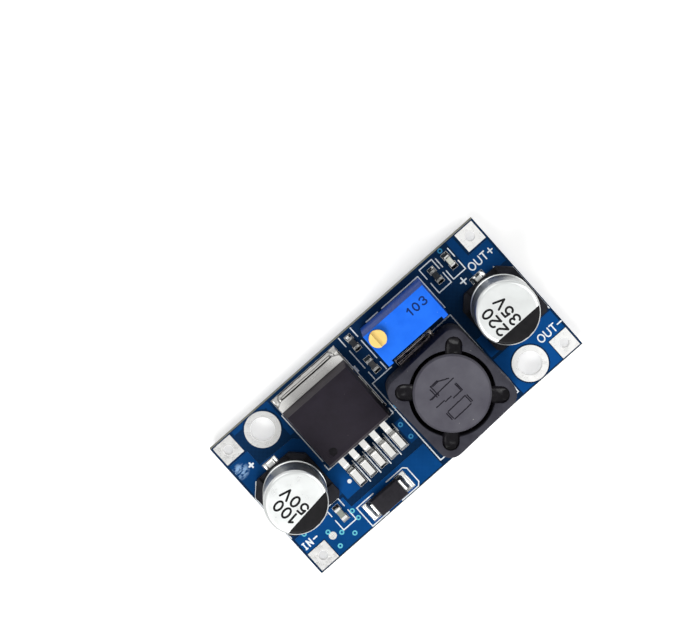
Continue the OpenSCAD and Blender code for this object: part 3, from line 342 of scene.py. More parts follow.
# dark shade, pale shade, roughness range, scales of the clouds and of the skin, bump in
# millimetres, specular level, and the rest; dust is the size, share and colour of its specks
PLASTICS = {
    # the epoxy's steep sides are painted paler: painted light
    "epoxy": ((37, 33, 40), (43, 39, 47), (0.5, 0.7), 0.5, 12.0, 0.006, 0.08,
              dict(dust=(0.05, 0.05, srgb(110, 102, 106)), painted_side_shading=srgb(68, 64, 68))),
    "diode_epoxy": ((34, 33, 37), (44, 42, 47), (0.45, 0.65), 1.2, 14.0, 0.008, 0.08, {}),
    "shield": ((50, 49, 57), (64, 64, 72), (0.45, 0.66), 0.7, 8.0, 0.02, 0.10,
               dict(dust=(0.06, 0.12, srgb(190, 190, 186)))),
    # the drum's paler shades are partly a painted sheen
    "drum": ((80, 78, 87), (94, 93, 101), (0.42, 0.6), 0.35, 8.0, 0.012, 0.10,
             dict(dust=(0.055, 0.12, srgb(205, 205, 200)))),
    "glue": ((12, 11, 14), (22, 20, 25), (0.16, 0.34), 0.8, 3.0, 0.006, 0.12, {}),
    # the blue housing's steep sides are painted darker: painted shade
    "blue": ((34, 108, 236), (42, 120, 248), (0.3, 0.45), 0.5, 8.0, 0.004, 0.02,
             dict(dust=(0.045, 0.07, srgb(120, 170, 245)), painted_side_shading=srgb(24, 66, 150))),
    "black": ((24, 24, 29), (36, 36, 42), (0.4, 0.62), 1.2, 10.0, 0.008, 0.12, {}),
    "rubber": ((28, 28, 30), (36, 36, 38), (0.6, 0.8), 1.5, 10.0, 0.01, 0.1, {}),
    "red": ((150, 52, 38), (170, 64, 48), (0.5, 0.7), 1.5, 10.0, 0.01, 0.2, {}),
    "white": ((226, 224, 214), (238, 236, 228), (0.4, 0.6), 1.5, 12.0, 0.01, 0.25, {}),
    "ceramic": ((222, 219, 208), (236, 234, 226), (0.5, 0.7), 1.0, 16.0, 0.012, 0.2, {}),
    "amber": ((176, 138, 82), (196, 158, 100), (0.2, 0.4), 1.0, 5.0, 0.03, 0.4, {}),
    "lens": ((222, 224, 206), (240, 242, 232), (0.12, 0.28), 2.0, 9.0, 0.008, 0.4, dict(coat=0.3)),
    "glaze": ((38, 41, 45), (56, 60, 64), (0.25, 0.4), 3.0, 16.0, 0.008, 0.2, {}),
    "grey": ((66, 68, 70), (88, 88, 87), (0.35, 0.55), 3.0, 16.0, 0.01, 0.2, {}),
    "tan": ((130, 135, 126), (150, 155, 146), (0.3, 0.5), 3.0, 16.0, 0.01, 0.25, {}),
    "roll": ((160, 132, 96), (186, 160, 122), (0.5, 0.7), 2.0, 12.0, 0.03, 0.2, {}),
    "print": ((222, 230, 236), (244, 248, 250), (0.5, 0.7), 1.6, 12.0, 0.006, 0.15, {}),
    "ink": ((16, 16, 18), (24, 23, 25), (0.35, 0.5), 1.5, 10.0, 0.006, 0.12,
            dict(dust=(0.06, 0.16, srgb(190, 190, 186)))),
    "etch": ((22, 20, 27), (34, 32, 40), (0.6, 0.8), 4.0, 12.0, 0.01, 0.08, {}),
    "blue_ink": ((14, 38, 92), (20, 52, 120), (0.5, 0.7), 4.0, 12.0, 0.01, 0.08, {}),
}
for name, (dark, pale, *values, rest) in PLASTICS.items():
    M[name] = plastic(name, srgb(*dark), srgb(*pale), *values, **rest)

PAINT = {
    "circuit_board": "mask_bare", "wire_pads": "tin", "mounting_rings": "tin", "hole_rings": "tin",
    "via_rings": "via", "solder_lands": "tin", "pin_solder": "solder_under",
    "regulator_body": "epoxy", "regulator_tab": "tab", "regulator_leads": "lead",
    "regulator_chip": "silicon", "regulator_straps": "bond",
    "inductor_shield": "shield", "inductor_drum": "drum", "inductor_winding": "wire",
    "inductor_base": "black", "inductor_clips": "clip", "inductor_glue": "glue",
    "trimmer_housing": "blue", "trimmer_screw": "brass", "trimmer_seal_ring": "red",
    "trimmer_wheel": "white", "trimmer_wiper": "spring", "trimmer_element": "ceramic",
    "trimmer_pins": "lead", "trimmer_seal": "amber",
    "diode_body": "diode_epoxy", "diode_leads": "lead", "diode_chip": "silicon",
    "lamp_base": "white", "lamp_lens": "lens", "lamp_terminals": "lead",
    "lamp_resistor": "glaze", "divider_resistor": "glaze", "feedback_resistor": "grey",
    "chip_capacitor": "tan",
}
for end in ("input_cap", "output_cap"):
    PAINT.update({end + "_can": "can", end + "_base": "black", end + "_bung": "rubber",
                  end + "_roll": "roll", end + "_terminals": "lead"})
# painted reflection: the far resistors' caps are painted dark
for name in ("divider_resistor_caps", "feedback_resistor_caps", "lamp_resistor_caps"):
    PAINT[name] = "caps_painted_reflection"
for name, obj in NODES.items():
    key = PAINT.get(name, "lead")
    obj.data.materials.clear()
    obj.data.materials.append(M[key])

# ------------------------------------------------------------------ shapes

def link(name, mesh, body="board", slot=None, stands_for=()):
    obj = bpy.data.objects.new(name, mesh)
    bpy.context.scene.collection.objects.link(obj)
    if body:
        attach(obj, body)
    if stands_for:
        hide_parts(*stands_for)
    return obj


def mesh_of(name, verts, faces, material, smooth=None, more=(), which=()):
    """A mesh; more are its further materials, and which says which one each face has."""
    me = bpy.data.meshes.new(name)
    me.from_pydata([tuple(v) for v in verts], [], [tuple(f) for f in faces])
    for m in (material, *more):
        me.materials.append(m)
    for face, index in zip(me.polygons, which):
        face.material_index = index
    if smooth is not None:
        me.shade_smooth()
        me.set_sharp_from_angle(angle=math.radians(smooth))
    me.update()
    return me


def signed_area(poly):
    return sum(a[0] * b[1] - b[0] * a[1] for a, b in zip(poly, poly[1:] + poly[:1])) / 2


def slab(name, keep, z0, z1, material, drop=(), place=row, **how):
    """A thin plate: the union of the outlines in keep, less those in drop, from z0 up to z1."""
    verts, faces = [], []
    for poly in list(keep) + list(drop):
        if signed_area(poly) < 0:
            poly = poly[::-1]
        faces.append(list(range(len(verts), len(verts) + len(poly))))
        verts.extend(Vector(p) for p in poly)
    out = delaunay_2d_cdt(verts, [], faces, 1, 1e-5)
    points, tris, origin = out[0], out[2], out[5]
    kept = [t for t, o in zip(tris, origin)
            if any(i < len(keep) for i in o) and not any(i >= len(keep) for i in o)]
    edges = {}
    for t in kept:
        for a, b in zip(t, t[1:] + t[:1]):
            edges[(a, b)] = edges.get((a, b), 0) + 1
    used = sorted({i for t in kept for i in t})
    new = {i: k for k, i in enumerate(used)}
    n = len(used)
    flat = [place(*points[i]) for i in used]
    verts = [(x, y, z0) for x, y in flat] + [(x, y, z1) for x, y in flat]
    faces = [[new[i] + n for i in t] for t in kept] + [[new[i] for i in reversed(t)] for t in kept]
    faces += [(new[a], new[b], new[b] + n, new[a] + n) for (a, b) in edges if (b, a) not in edges]
    return link(name, mesh_of(name, verts, faces, material), **how)


def disc(c, r, n=28):
    return [(c[0] + r * math.cos(2 * math.pi * i / n), c[1] + r * math.sin(2 * math.pi * i / n))
            for i in range(n)]


def rect(x0, y0, x1, y1):
    return [(x0, y0), (x1, y0), (x1, y1), (x0, y1)]


def stroke(path, width, n=6):
    """Round-ended outlines, one for each step of a path."""
    out = []
    r = width / 2
    for a, b in zip(path, path[1:]):
        if math.hypot(b[0] - a[0], b[1] - a[1]) < 1e-6:
            continue
        t = math.atan2(b[1] - a[1], b[0] - a[0])
        ring = [(b[0] + r * math.cos(t - math.pi / 2 + math.pi * i / n),
                 b[1] + r * math.sin(t - math.pi / 2 + math.pi * i / n)) for i in range(n + 1)]
        ring += [(a[0] + r * math.cos(t + math.pi / 2 + math.pi * i / n),
                  a[1] + r * math.sin(t + math.pi / 2 + math.pi * i / n)) for i in range(n + 1)]
        out.append(ring)
    return out


def arc(cx, cy, rx, ry, a0, a1, n=10):
    return [(cx + rx * math.cos(math.radians(a0 + (a1 - a0) * i / n)),
             cy + ry * math.sin(math.radians(a0 + (a1 - a0) * i / n))) for i in range(n + 1)]


# Letters and figures as strokes: (width, paths), one unit tall
GLYPHS = {
    "I": (0.36, [[(0.02, 1), (0.34, 1)], [(0.18, 1), (0.18, 0)], [(0.02, 0), (0.34, 0)]]),
    "N": (0.66, [[(0, 0), (0, 1), (0.66, 0), (0.66, 1)]]),
    "O": (0.82, [arc(0.41, 0.5, 0.41, 0.5, 0, 360, 22)]),
    "U": (0.68, [[(0, 1), (0, 0.34)] + arc(0.34, 0.34, 0.34, 0.34, 180, 360) + [(0.68, 1)]]),
    "T": (0.66, [[(0, 1), (0.66, 1)], [(0.33, 1), (0.33, 0)]]),
    "V": (0.68, [[(0, 1), (0.34, 0), (0.68, 1)]]),
    "+": (0.7, [[(0, 0.5), (0.7, 0.5)], [(0.35, 0.12), (0.35, 0.88)]]),
    "-": (0.7, [[(0.02, 0.5), (0.68, 0.5)]]),
    "0": (0.54, [arc(0.27, 0.5, 0.27, 0.5, 0, 360, 22)]),
    "1": (0.3, [[(0, 0.76), (0.24, 1), (0.24, 0)]]),
    "2": (0.56, [arc(0.28, 0.72, 0.28, 0.28, 170, -35, 10) + [(0, 0), (0.58, 0)]]),
    "3": (0.54, [arc(0.25, 0.75, 0.25, 0.25, 160, -80, 10),
                 arc(0.25, 0.26, 0.28, 0.27, 85, -165, 10)]),
    "5": (0.54, [[(0.5, 1), (0.08, 1), (0.03, 0.52)] + arc(0.25, 0.33, 0.28, 0.33, 120, -160, 12)]),
}


def text(words, at, height, line, gap=0.24, wide=1.0, turn=0.0, mirror=False):
    """Outlines of a line of letters: at is the left end of its foot. turn is in degrees."""
    c, s = math.cos(math.radians(turn)), math.sin(math.radians(turn))
    out, x = [], 0.0
    for letter in words:
        width, paths = GLYPHS[letter]
        for path in paths:
            placed = []
            for px, py in path:
                ax, ay = (x + px * wide) * height, py * height
                if mirror:
                    ax = -ax
                placed.append((at[0] + ax * c - ay * s, at[1] + ax * s + ay * c))
            out += stroke(placed, line)
        x += width * wide + gap
    return out


def text_length(words, height, gap=0.24, wide=1.0):
    return (sum(GLYPHS[w][0] * wide for w in words) + gap * (len(words) - 1)) * height


# ------------------------------------------------------------------ copper under the mask

POUR_T = 0.03 * MM
EDGE = 0.3              # bare strip round the copper
PAD_HALF = 1.5          # a wire pad with the gap round it
PIN_PITCH, PIN_MID, PIN_V = 2.54, 28.6, 17.415
SPARE_HOLES = [(4.45, 12.1), (38.9, 12.1)]      # empty holes under the cans


def on_board(mount):
    """A mount's place, in millimetres from the board's near input corner."""
    x, y, _ = mount["pos_m"]
    return (x - BOARD_LO.x) / MM, (y - BOARD_LO.y) / MM


mounts = frame["record"]["mounts"]
screw_holes = [on_board(m) for m in mounts if m["name"].startswith("mounting_hole")]
pads = [on_board(m) for m in mounts if not m["name"].startswith("mounting_hole")]
pad_gaps = [rect(u - PAD_HALF, v - PAD_HALF, u + PAD_HALF, v + PAD_HALF) for u, v in pads]
front_gaps = [disc(at, r) for at, r in zip(screw_holes, (2.55, 2.5))] + pad_gaps
front_pour = [
    # first lead, ground beside the negative input, and the diode's land
    rect(8.6, 4.9, 10.72, 9.1), rect(EDGE, EDGE, 8.3, 5.5), rect(8.3, EDGE, 20.2, 3.9),
    # negative output
    rect(33.6, EDGE, BOARD_L - EDGE, 5.9), rect(33.6, 6.3, 36.5, 9.2),
]
dim_pour = [
    # last lead
    rect(19.15, 4.9, 20.25, 8.2),
    # positive input
    [(EDGE, 5.9), (9.3, 5.9), (9.3, 14.4), (8.5, 15.2), (3.3, 15.4), (3.3, 17.7), (EDGE, 17.7)],
    rect(3.4, 20.2, 9.2, 20.75), rect(8.6, 15.6, 9.25, 20.7),
    # positive output
    [(38.6, 14.2), (BOARD_L - EDGE, 14.2), (BOARD_L - EDGE, 17.7), (39.8, 17.7), (39.8, 20.7),
     (38.8, 20.7)],
]
slab("front_copper", front_pour, TOP, TOP + POUR_T, M["mask_copper"], drop=front_gaps,
     slot="solder_mask")
slab("input_copper", dim_pour, TOP, TOP + POUR_T, M["mask_dim"], drop=front_gaps + front_pour,
     slot="solder_mask")

under_track = [(26.0, 16.2), (26.0, 15.3), (22.0, 11.0), (20.85, 9.7)]
pins = [(PIN_MID + i * PIN_PITCH, PIN_V) for i in (-1, 0, 1)]
under_gaps = ([disc(at, 2.6) for at in screw_holes] + [disc(at, 1.3) for at in pins]
              + [disc(at, 1.15) for at in SPARE_HOLES] + pad_gaps
              + stroke(under_track, 1.0)
              + stroke([(38.9, 20.7), (38.9, 16.4), (40.2, 15.4)], 0.35)
              + stroke([(31.2, 17.4), (34.6, 17.4), (38.5, 17.0)], 0.3))
slab("under_copper", [rect(EDGE, EDGE, BOARD_L - EDGE, BOARD_W - EDGE)], UNDER - POUR_T, UNDER,
     M["mask_under"], drop=under_gaps, slot="solder_mask")
slab("under_trace", stroke(under_track, 0.45), UNDER - POUR_T, UNDER, M["mask_under"],
     slot="solder_mask")

# ------------------------------------------------------------------ plating inside the open holes

PLATE_T = 0.02
bores = [(on_board(m), m["dims"]["r_mm"]) for m in mounts]
ring_lo, ring_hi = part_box("mounting_rings")
slab("hole_plating", [disc(at, r, 48) for at, r in bores], ring_lo.z, ring_hi.z, M["plate"],
     drop=[disc(at, r - PLATE_T, 48) for at, r in bores], slot="tinned_copper")

# ------------------------------------------------------------------ printed lines and letters

PRINT_T = 0.045 * MM
LINE = 0.15
ARROW_LINE = 1.05
lines = [
    [(3.1, 14.1), (1.55, 14.1), (0.12, 12.6), (0.12, 5.9)], [(6.66, 14.2), (8.06, 12.8)],
    [(41.2, 14.6), (43.0, 13.0), (43.0, 6.2)],
    [(9.43, 10.5), (9.43, 18.15)], [(19.97, 10.65), (19.97, 18.4)],
    [(9.27, 10.0), (9.27, 9.24), (19.96, 9.24), (19.96, 10.0)],
    [(12.2, 4.7), (12.2, 8.14)], [(13.9, 4.7), (13.9, 8.14)], [(15.57, 4.7), (15.57, 8.14)],
    [(17.26, 4.7), (17.26, 8.14)], [(18.95, 7.2), (18.95, 8.3)],
    [(23.6, 13.68), (20.45, 13.68), (20.45, 0.9), (21.3, 0.9)],
    [(30.2, 13.68), (33.3, 13.68), (33.3, 0.9), (32.5, 0.9)],
    [(24.95, 19.93), (26.8, 19.93)], [(27.5, 19.93), (33.42, 19.93), (33.42, 14.8)],
    [(34.08, 18.2), (34.08, 16.64), (36.09, 16.64), (36.09, 18.2)],
    [(34.08, 18.9), (34.08, 20.39), (36.09, 20.39), (36.09, 18.9)],
    [(36.53, 18.1), (36.53, 16.74), (38.5, 16.74), (38.5, 18.1)],
    [(36.53, 18.8), (36.53, 20.1)], [(38.5, 18.8), (38.5, 20.1)],
    [(5.67, 3.9), (5.67, 2.35), (7.73, 2.35), (7.73, 3.9)],
    [(5.67, 4.6), (5.67, 5.85), (7.73, 5.85), (7.73, 4.6)],
    [(11.4, 3.34), (8.68, 3.34), (8.68, 0.3), (11.4, 0.3)],
    [(13.6, 3.34), (16.25, 3.34), (16.65, 2.94), (16.65, 0.7), (16.25, 0.3), (13.6, 0.3)],
]
for u in (21.04, 22.98):
    lines += [[(u, 20.7), (u, 19.3)], [(u, 18.6), (u, 15.75)], [(u, 15.07), (u, 13.9)]]
marks = [s for path in lines for s in stroke(path, LINE)]
marks += [disc((10.25, 6.45), 0.27), rect(19.74, 15.95, 20.3, 16.85)]
marks += text("IN-", (0.55, 3.6), 0.82, 0.2, 0.5, 0.9)
marks += text("OUT+", (38.88, 15.92), 0.98, 0.17, 0.3, 1.0)
marks += text("OUT-", (39.38, 3.5), 0.98, 0.17, 0.3, 1.0)
marks += text("+", (2.2, 15.65), 0.85, 0.24) + text("+", (36.85, 15.12), 1.25, 0.19)
slab("front_print", marks, TOP, TOP + PRINT_T, M["print"])

under = stroke([(17.0, 11.8), (25.6, 11.85)], ARROW_LINE, 10)
under += stroke([(22.85, 15.0), (26.1, 11.85), (22.9, 8.65)], ARROW_LINE, 10)
for words, at in (("IN+", (3.1, 15.7)), ("IN-", (2.9, 3.4)),
                  ("OUT+", (42.4, 15.7)), ("OUT-", (42.6, 3.5))):
    under += text(words, at, 1.0, 0.2, 0.2, 1.05, mirror=True)
slab("under_print", under, UNDER - PRINT_T, UNDER, M["print"])
slab("test_pad", [disc((4.18, 2.73), 0.5)], TOP, TOP + PRINT_T, M["tin"], slot="tinned_copper")

# ------------------------------------------------------------------ prints on the parts

INK_T = 0.012 * MM
CAN_EDGE = 0.5          # rounding of a can's top edge
BAND_INSET = 0.13       # from the can's side to the edge of its black segment
BAND_SINK = 0.002 * MM  # the segment's underside over the can
DRUM_TURN = 2.0         # degrees


def turned(c, degrees):
    """Places in millimetres from c, turned, as metres in the row frame."""
    t = math.radians(degrees)

    def place(x, y):
        return (c[0] + (x * math.cos(t) - y * math.sin(t)) * MM,
                c[1] + (x * math.sin(t) + y * math.cos(t)) * MM)
    return place


def can_print(name, node, turn, chord, words):
    """The black segment over the can's rounded edge, and two lines of figures beside it."""
    lo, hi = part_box(node)
    place = turned(((lo.x + hi.x) / 2, (lo.y + hi.y) / 2), turn)
    can_r = (hi.x - lo.x) / 2 / MM
    flat_r, reach = can_r - CAN_EDGE, can_r - BAND_INSET
    along, out = 56, 14
    verts, faces = [], []
    for lift in (INK_T, BAND_SINK):
        for i in range(out + 1):
            r = chord / reach + (1 - chord / reach) * (i / out) ** 0.8
            y = r * reach
            half = math.sqrt(max(0.0, reach ** 2 - y ** 2))
            for j in range(along + 1):
                x = half * (2 * j / along - 1)
                past = max(0.0, math.hypot(x, y) - flat_r)
                drop = CAN_EDGE - math.sqrt(max(0.0, CAN_EDGE ** 2 - past ** 2))
                px, py = place(x, -y)
                verts.append((px, py, hi.z - drop * MM + lift))
    n, w = (out + 1) * (along + 1), along + 1
    for i in range(out):
        for j in range(along):
            a = i * w + j
            faces += [(a, a + w, a + w + 1, a + 1), (n + a, n + a + 1, n + a + w + 1, n + a + w)]
    rim = list(range(w)) + [i * w + along for i in range(1, out + 1)]
    rim += [out * w + j for j in range(along - 1, -1, -1)] + [i * w for i in range(out - 1, 0, -1)]
    for a, b in zip(rim, rim[1:] + rim[:1]):
        faces.append((a, b, n + b, n + a))
    bm = bmesh.new()
    grown = [bm.verts.new(v) for v in verts]
    for f in faces:
        bm.faces.new([grown[i] for i in f])
    bmesh.ops.remove_doubles(bm, verts=bm.verts, dist=1e-8)
    bmesh.ops.recalc_face_normals(bm, faces=bm.faces)
    me = bpy.data.meshes.new(name + "_band")
    bm.to_mesh(me)
    bm.free()
    me.materials.append(M["ink"])
    me.shade_smooth()
    me.set_sharp_from_angle(angle=math.radians(50))
    link(name + "_band", me)
    outlines = []
    tall, line, gap, wide = 1.32, 0.27, 0.36, 1.14
    for figures, x, y in words:
        length = text_length(figures, tall, gap, wide)
        outlines += text(figures, (x + tall / 2, y - length / 2), tall, line, gap, wide, turn=90)
    slab(name + "_value", outlines, hi.z, hi.z + INK_T, M["ink"], place=place)


can_print("input_cap", "input_cap_can", 6.7, 1.76, [("100", -1.7, 0.23), ("50V", 0.03, 0.27)])
can_print("output_cap", "output_cap_can", 0.0, 1.79, [("220", -1.95, 0.2), ("35V", 0.08, 0.26)])

lo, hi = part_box("inductor_drum")
drum_c = ((lo.x + hi.x) / 2, (lo.y + hi.y) / 2)


def dotted(path, pitch=0.13, r=0.085):
    """Small dots along a path, as a laser burns them."""
    dots = []
    for a, b in zip(path, path[1:]):
        steps = max(1, round(math.hypot(b[0] - a[0], b[1] - a[1]) / pitch))
        for i in range(steps + 1):
            x, y = a[0] + (b[0] - a[0]) * i / steps, a[1] + (b[1] - a[1]) * i / steps
            wander = 0.03 * noise.noise(Vector((x * 3, y * 3, 5.0)))
            dots.append(disc((x + wander, y + wander), r * (1 + 4 * wander), 9))
    return dots


# 470 as the laser's strokes, in millimetres from the drum's axis: its heads are towards +X
burnt = [
    [(-2.48, 1.28), (1.40, 1.31)], [(-2.3, 1.2), (-1.2, 1.22)], [(-1.63, 2.2), (-1.63, 1.0)],
    [(-1.34, 2.47), (-1.34, 1.0)], [(-1.37, 2.43), (-0.29, 2.43)], [(-1.1, 2.28), (-0.3, 2.28)],
    [(-0.29, 2.35), (0.35, 2.0), (0.96, 1.67)],
    [(1.05, 0.64), (1.05, -0.47)], [(1.22, 0.64), (1.22, -0.47)], [(1.05, -0.47), (-0.21, -0.47)],
    [(-0.34, -0.12), (-1.23, -0.12)], [(-1.3, 0.06), (-2.53, 0.08)],
    [(-1.81, -1.23), (0.96, -1.23)], [(-1.90, -2.48), (0.78, -2.48)],
    [(-2.19, -1.32), (-2.19, -2.26)], [(-1.95, -1.32), (-1.95, -2.26)],
    [(0.96, -1.37), (0.96, -2.30)], [(1.18, -1.37), (1.18, -2.30)],
]
slab("drum_mark", [d for path in burnt for d in dotted(path)], hi.z, hi.z + INK_T, M["etch"],
     place=turned(drum_c, DRUM_TURN))

lo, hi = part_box("trimmer_housing")


def on_trimmer(x, y):
    return lo.x + x * MM, lo.y + y * MM


slab("trimmer_value", text("103", (6.05, 2.85), 0.98, 0.2, 0.5, 1.25), hi.z, hi.z + INK_T,
     M["blue_ink"], place=on_trimmer)
lo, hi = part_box("regulator_body")
slab("pin_one_mark", [disc((lo.x / MM + 1.75, lo.y / MM + 1.55), 0.5, 40)], hi.z, hi.z + INK_T / 2,
     M["glue"], place=lambda x, y: (x * MM, y * MM))

# ------------------------------------------------------------------ solder

def islands(node):
    """The boxes of a CAD node's separate solids, from low x and y."""
    me = NODES[node].data
    keys, ids = {}, []
    for v in me.vertices:
        ids.append(keys.setdefault(tuple(round(c * 1e6) for c in v.co), len(keys)))
    parent = list(range(len(keys)))

    def root(i):
        while parent[i] != i:
            parent[i] = parent[parent[i]]
            i = parent[i]
        return i
    for poly in me.polygons:
        a = root(ids[poly.vertices[0]])
        for i in poly.vertices[1:]:
            parent[root(ids[i])] = a
    groups = {}
    for v, i in zip(me.vertices, ids):
        groups.setdefault(root(i), []).append(v.co)
    out = []
    for co in groups.values():
        co = np.array(co)
        out.append((Vector(co.min(0)), Vector(co.max(0))))
    return sorted(out, key=lambda b: (round(b[0].x, 5), b[0].y))


def climb(d):
    """Height of a fillet, 1 at the foot and 0 at its reach."""
    return (1 - d) ** 1.8


def stepped(d):
    """The climb in two steep steps with a ledge between them."""
    def rise(lo, hi):
        t = min(1.0, max(0.0, (hi - d) / (hi - lo)))
        return t * t * (3 - 2 * t)
    return 0.42 * rise(0.66, 0.86) + 0.58 * rise(0.08, 0.30)


SOLDER_EDGE = 0.12      # how far in the film's edge is round
FILM = 0.07             # thickness of the solder over a land
LAND_INSET = 0.02 * MM


def pillow(land, feet, film, seed, step=0.06, profile=climb, ridge=None):
    """Solder on one land: a film with round edges, which climbs to each foot.
    A foot is (lo, hi, height, reach); all in metres except film, height and reach, in millimetres.
    ridge gives the height of a bead over the film, in millimetres, from millimetres."""
    (x0, y0), (x1, y1) = land
    nx = max(6, min(90, int((x1 - x0) / MM / step)))
    ny = max(6, min(90, int((y1 - y0) / MM / step)))
    verts, faces = [], []
    for j in range(ny + 1):
        for i in range(nx + 1):
            x, y = x0 + (x1 - x0) * i / nx, y0 + (y1 - y0) * j / ny
            edge = min(x - x0, x1 - x, y - y0, y1 - y) / MM
            round_off = math.sqrt(max(0.0, 1 - max(0.0, 1 - edge / SOLDER_EDGE) ** 2))
            h = film * (1 + 0.3 * noise.noise(Vector((x / MM * 1.3, y / MM * 1.3, seed))))
            hidden = False
            for flo, fhi, height, reach in feet:
                dx = max(flo[0] - x, 0, x - fhi[0]) / MM
                dy = max(flo[1] - y, 0, y - fhi[1]) / MM
                deep = min(x - flo[0], fhi[0] - x, y - flo[1], fhi[1] - y) / MM
                hidden = hidden or deep > 1.5 * step
                d = math.hypot(dx, dy) / (reach * (1 + 0.3 * noise.noise(
                    Vector((x / MM * 0.9, y / MM * 0.9, seed + 7)))))
                if d < 1:
                    h = max(h, film + (height - film) * profile(max(0.0, d)))
            if ridge:
                h += ridge((x - x0) / MM, (y - y0) / MM, (x1 - x0) / MM)
            h = film / 2 if hidden else h
            verts.append((x, y, LAND_TOP + h * round_off * MM))
    n = len(verts)
    for j in range(ny):
        for i in range(nx):
            a = j * (nx + 1) + i
            faces.append((a, a + 1, a + nx + 2, a + nx + 1))
    ring = (list(range(nx)) + [j * (nx + 1) + nx for j in range(ny)]
            + [ny * (nx + 1) + i for i in range(nx, 0, -1)] + [j * (nx + 1) for j in range(ny, 0, -1)])
    verts += [(verts[i][0], verts[i][1], LAND_TOP - 0.01 * MM) for i in ring]
    k = len(ring)
    for i in range(k):
        faces.append((ring[i], n + i, n + (i + 1) % k, ring[(i + 1) % k]))
    faces.append([n + i for i in range(k - 1, -1, -1)])
    return verts, faces


def inside(box, land):
    """The part of a box that stands over a land, or None."""
    (a, b), (c, d) = land
    lo, hi = box
    if hi.x < a or lo.x > c or hi.y < b or lo.y > d:
        return None
    return (max(lo.x, a), max(lo.y, b)), (min(hi.x, c), min(hi.y, d))


FOOT = 2.2 * MM         # length of a regulator lead's flat end
TAB_FOOT = 5 * MM       # how far under the body the tab's land starts
TAB_INSET = 1.1 * MM
LOW_FILLET = (0.36, 0.5)
CAN_FILLET = (0.3, 0.5)
leads = islands("regulator_leads")
lead_y = leads[0][0].y
tab_lo, tab_hi = tab_box
mid = (tab_lo.x + tab_hi.x) / 2
half = (leads[0][1].x - leads[0][0].x) / 2
contacts = []           # (box, height, reach) of each foot, in the row frame
for lo, hi in leads + [(Vector((mid - half, lead_y, 0)), Vector((mid + half, 0, 0)))]:
    contacts.append(((lo, Vector((hi.x, lead_y + FOOT, 0))), 0.34, 0.34))
contacts.append(((Vector((tab_lo.x + TAB_INSET, tab_lo.y + TAB_FOOT, 0)),
                  Vector((tab_hi.x - TAB_INSET, tab_hi.y, 0))), 0.8, 0.75))
contacts.append(((Vector((tab_lo.x, tab_lo.y + TAB_FOOT, 0)),
                  Vector((tab_hi.x, tab_hi.y - 0.6 * MM, 0))), 0.5, 0.5))
for node, fillet in (("inductor_clips", (0.4, 0.3)), ("diode_leads", (0.8, 0.6)),
                     ("input_cap_terminals", CAN_FILLET), ("output_cap_terminals", CAN_FILLET),
                     ("lamp_terminals", LOW_FILLET), ("lamp_resistor_caps", LOW_FILLET),
                     ("divider_resistor_caps", LOW_FILLET), ("feedback_resistor_caps", LOW_FILLET),
                     ("chip_capacitor_caps", LOW_FILLET)):
    contacts += [(box, *fillet) for box in islands(node)]

clips = islands("inductor_clips")


def waves(x, y, length):
    """A bead in two lobes along a clip's land."""
    middle = 0.62 - 0.3 * abs(math.sin(2 * math.pi * x / length)) ** 0.6
    height, width = 0.16, 0.09
    return height * math.exp(-((y - middle) / width) ** 2)


# the far chips, whose solder is painted dark with glints: painted reflection
dark_reflection_area = (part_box("divider_resistor")[0].x - MM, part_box("feedback_resistor")[0].y - 2 * MM)
solders = ["solder", "solder_painted_reflection", "tab_solder", "solder_brown"]
verts, faces, which = [], [], []
for k, (lo, hi) in enumerate(islands("solder_lands")):
    land = ((lo.x + LAND_INSET, lo.y + LAND_INSET), (hi.x - LAND_INSET, hi.y - LAND_INSET))
    feet = []
    for box, height, reach in contacts:
        part = inside(box, land)
        if part:
            feet.append((part[0], part[1], height, reach))
    under_tab = lo.x < mid < hi.x and hi.y > tab_hi.y
    on_clip = any(inside(box, land) for box in clips)
    v, f = pillow(land, feet, FILM, 3.1 * k, 0.045 if under_tab else 0.06,
                  stepped if under_tab else climb, waves if on_clip else None)
    faces += [[i + len(verts) for i in face] for face in f]
    gets_painted_reflection = lo.x > dark_reflection_area[0] and lo.y > dark_reflection_area[1]
    kind = ("tab_solder" if under_tab else "solder_brown" if on_clip
            else "solder_painted_reflection" if gets_painted_reflection else "solder")
    which += [solders.index(kind)] * len(f)
    verts += v
mesh = mesh_of("solder_fillets", verts, faces, M[solders[0]], 70, [M[s] for s in solders[1:]], which)
link("solder_fillets", mesh, slot="solder", stands_for=["solder_joints"])

# ------------------------------------------------------------------ glue in the shield's notches

NOTCH_R = (4.86, 6.98)  # a notch's ends, from the drum's axis; its outer end is round
NOTCH_HALF = 1.03
lo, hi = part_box("inductor_glue")
verts, faces = [], []
n = 14
for k in range(4):
    a = math.radians(45 + 90 * k + DRUM_TURN)
    base = len(verts)
    bend = NOTCH_R[1] - NOTCH_HALF
    for j in range(n + 1):
        for i in range(n + 1):
            s, t = i / n, 2 * j / n - 1
            x = NOTCH_R[0] + (NOTCH_R[1] - NOTCH_R[0]) * s
            y = t * math.sqrt(max(0.0, NOTCH_HALF ** 2 - max(0.0, x - bend) ** 2))
            wall = max(abs(t) ** 4, s ** 6)
            p = Vector((x * math.cos(a) - y * math.sin(a), x * math.sin(a) + y * math.cos(a), 0))
            h = -0.5 + 0.36 * wall + 0.22 * noise.noise(Vector((p.x * 0.9, p.y * 0.9, 2.0)))
            verts.append((drum_c[0] + p.x * MM, drum_c[1] + p.y * MM, hi.z + min(h, 0.1) * MM))
    for j in range(n):
        for i in range(n):
            q = base + j * (n + 1) + i
            faces.append((q, q + 1, q + n + 2, q + n + 1))
link("notch_glue", mesh_of("notch_glue", verts, faces, M["glue"], smooth=80), slot="black_glue",
     stands_for=["inductor_glue"])

# ------------------------------------------------------------------ eased edges

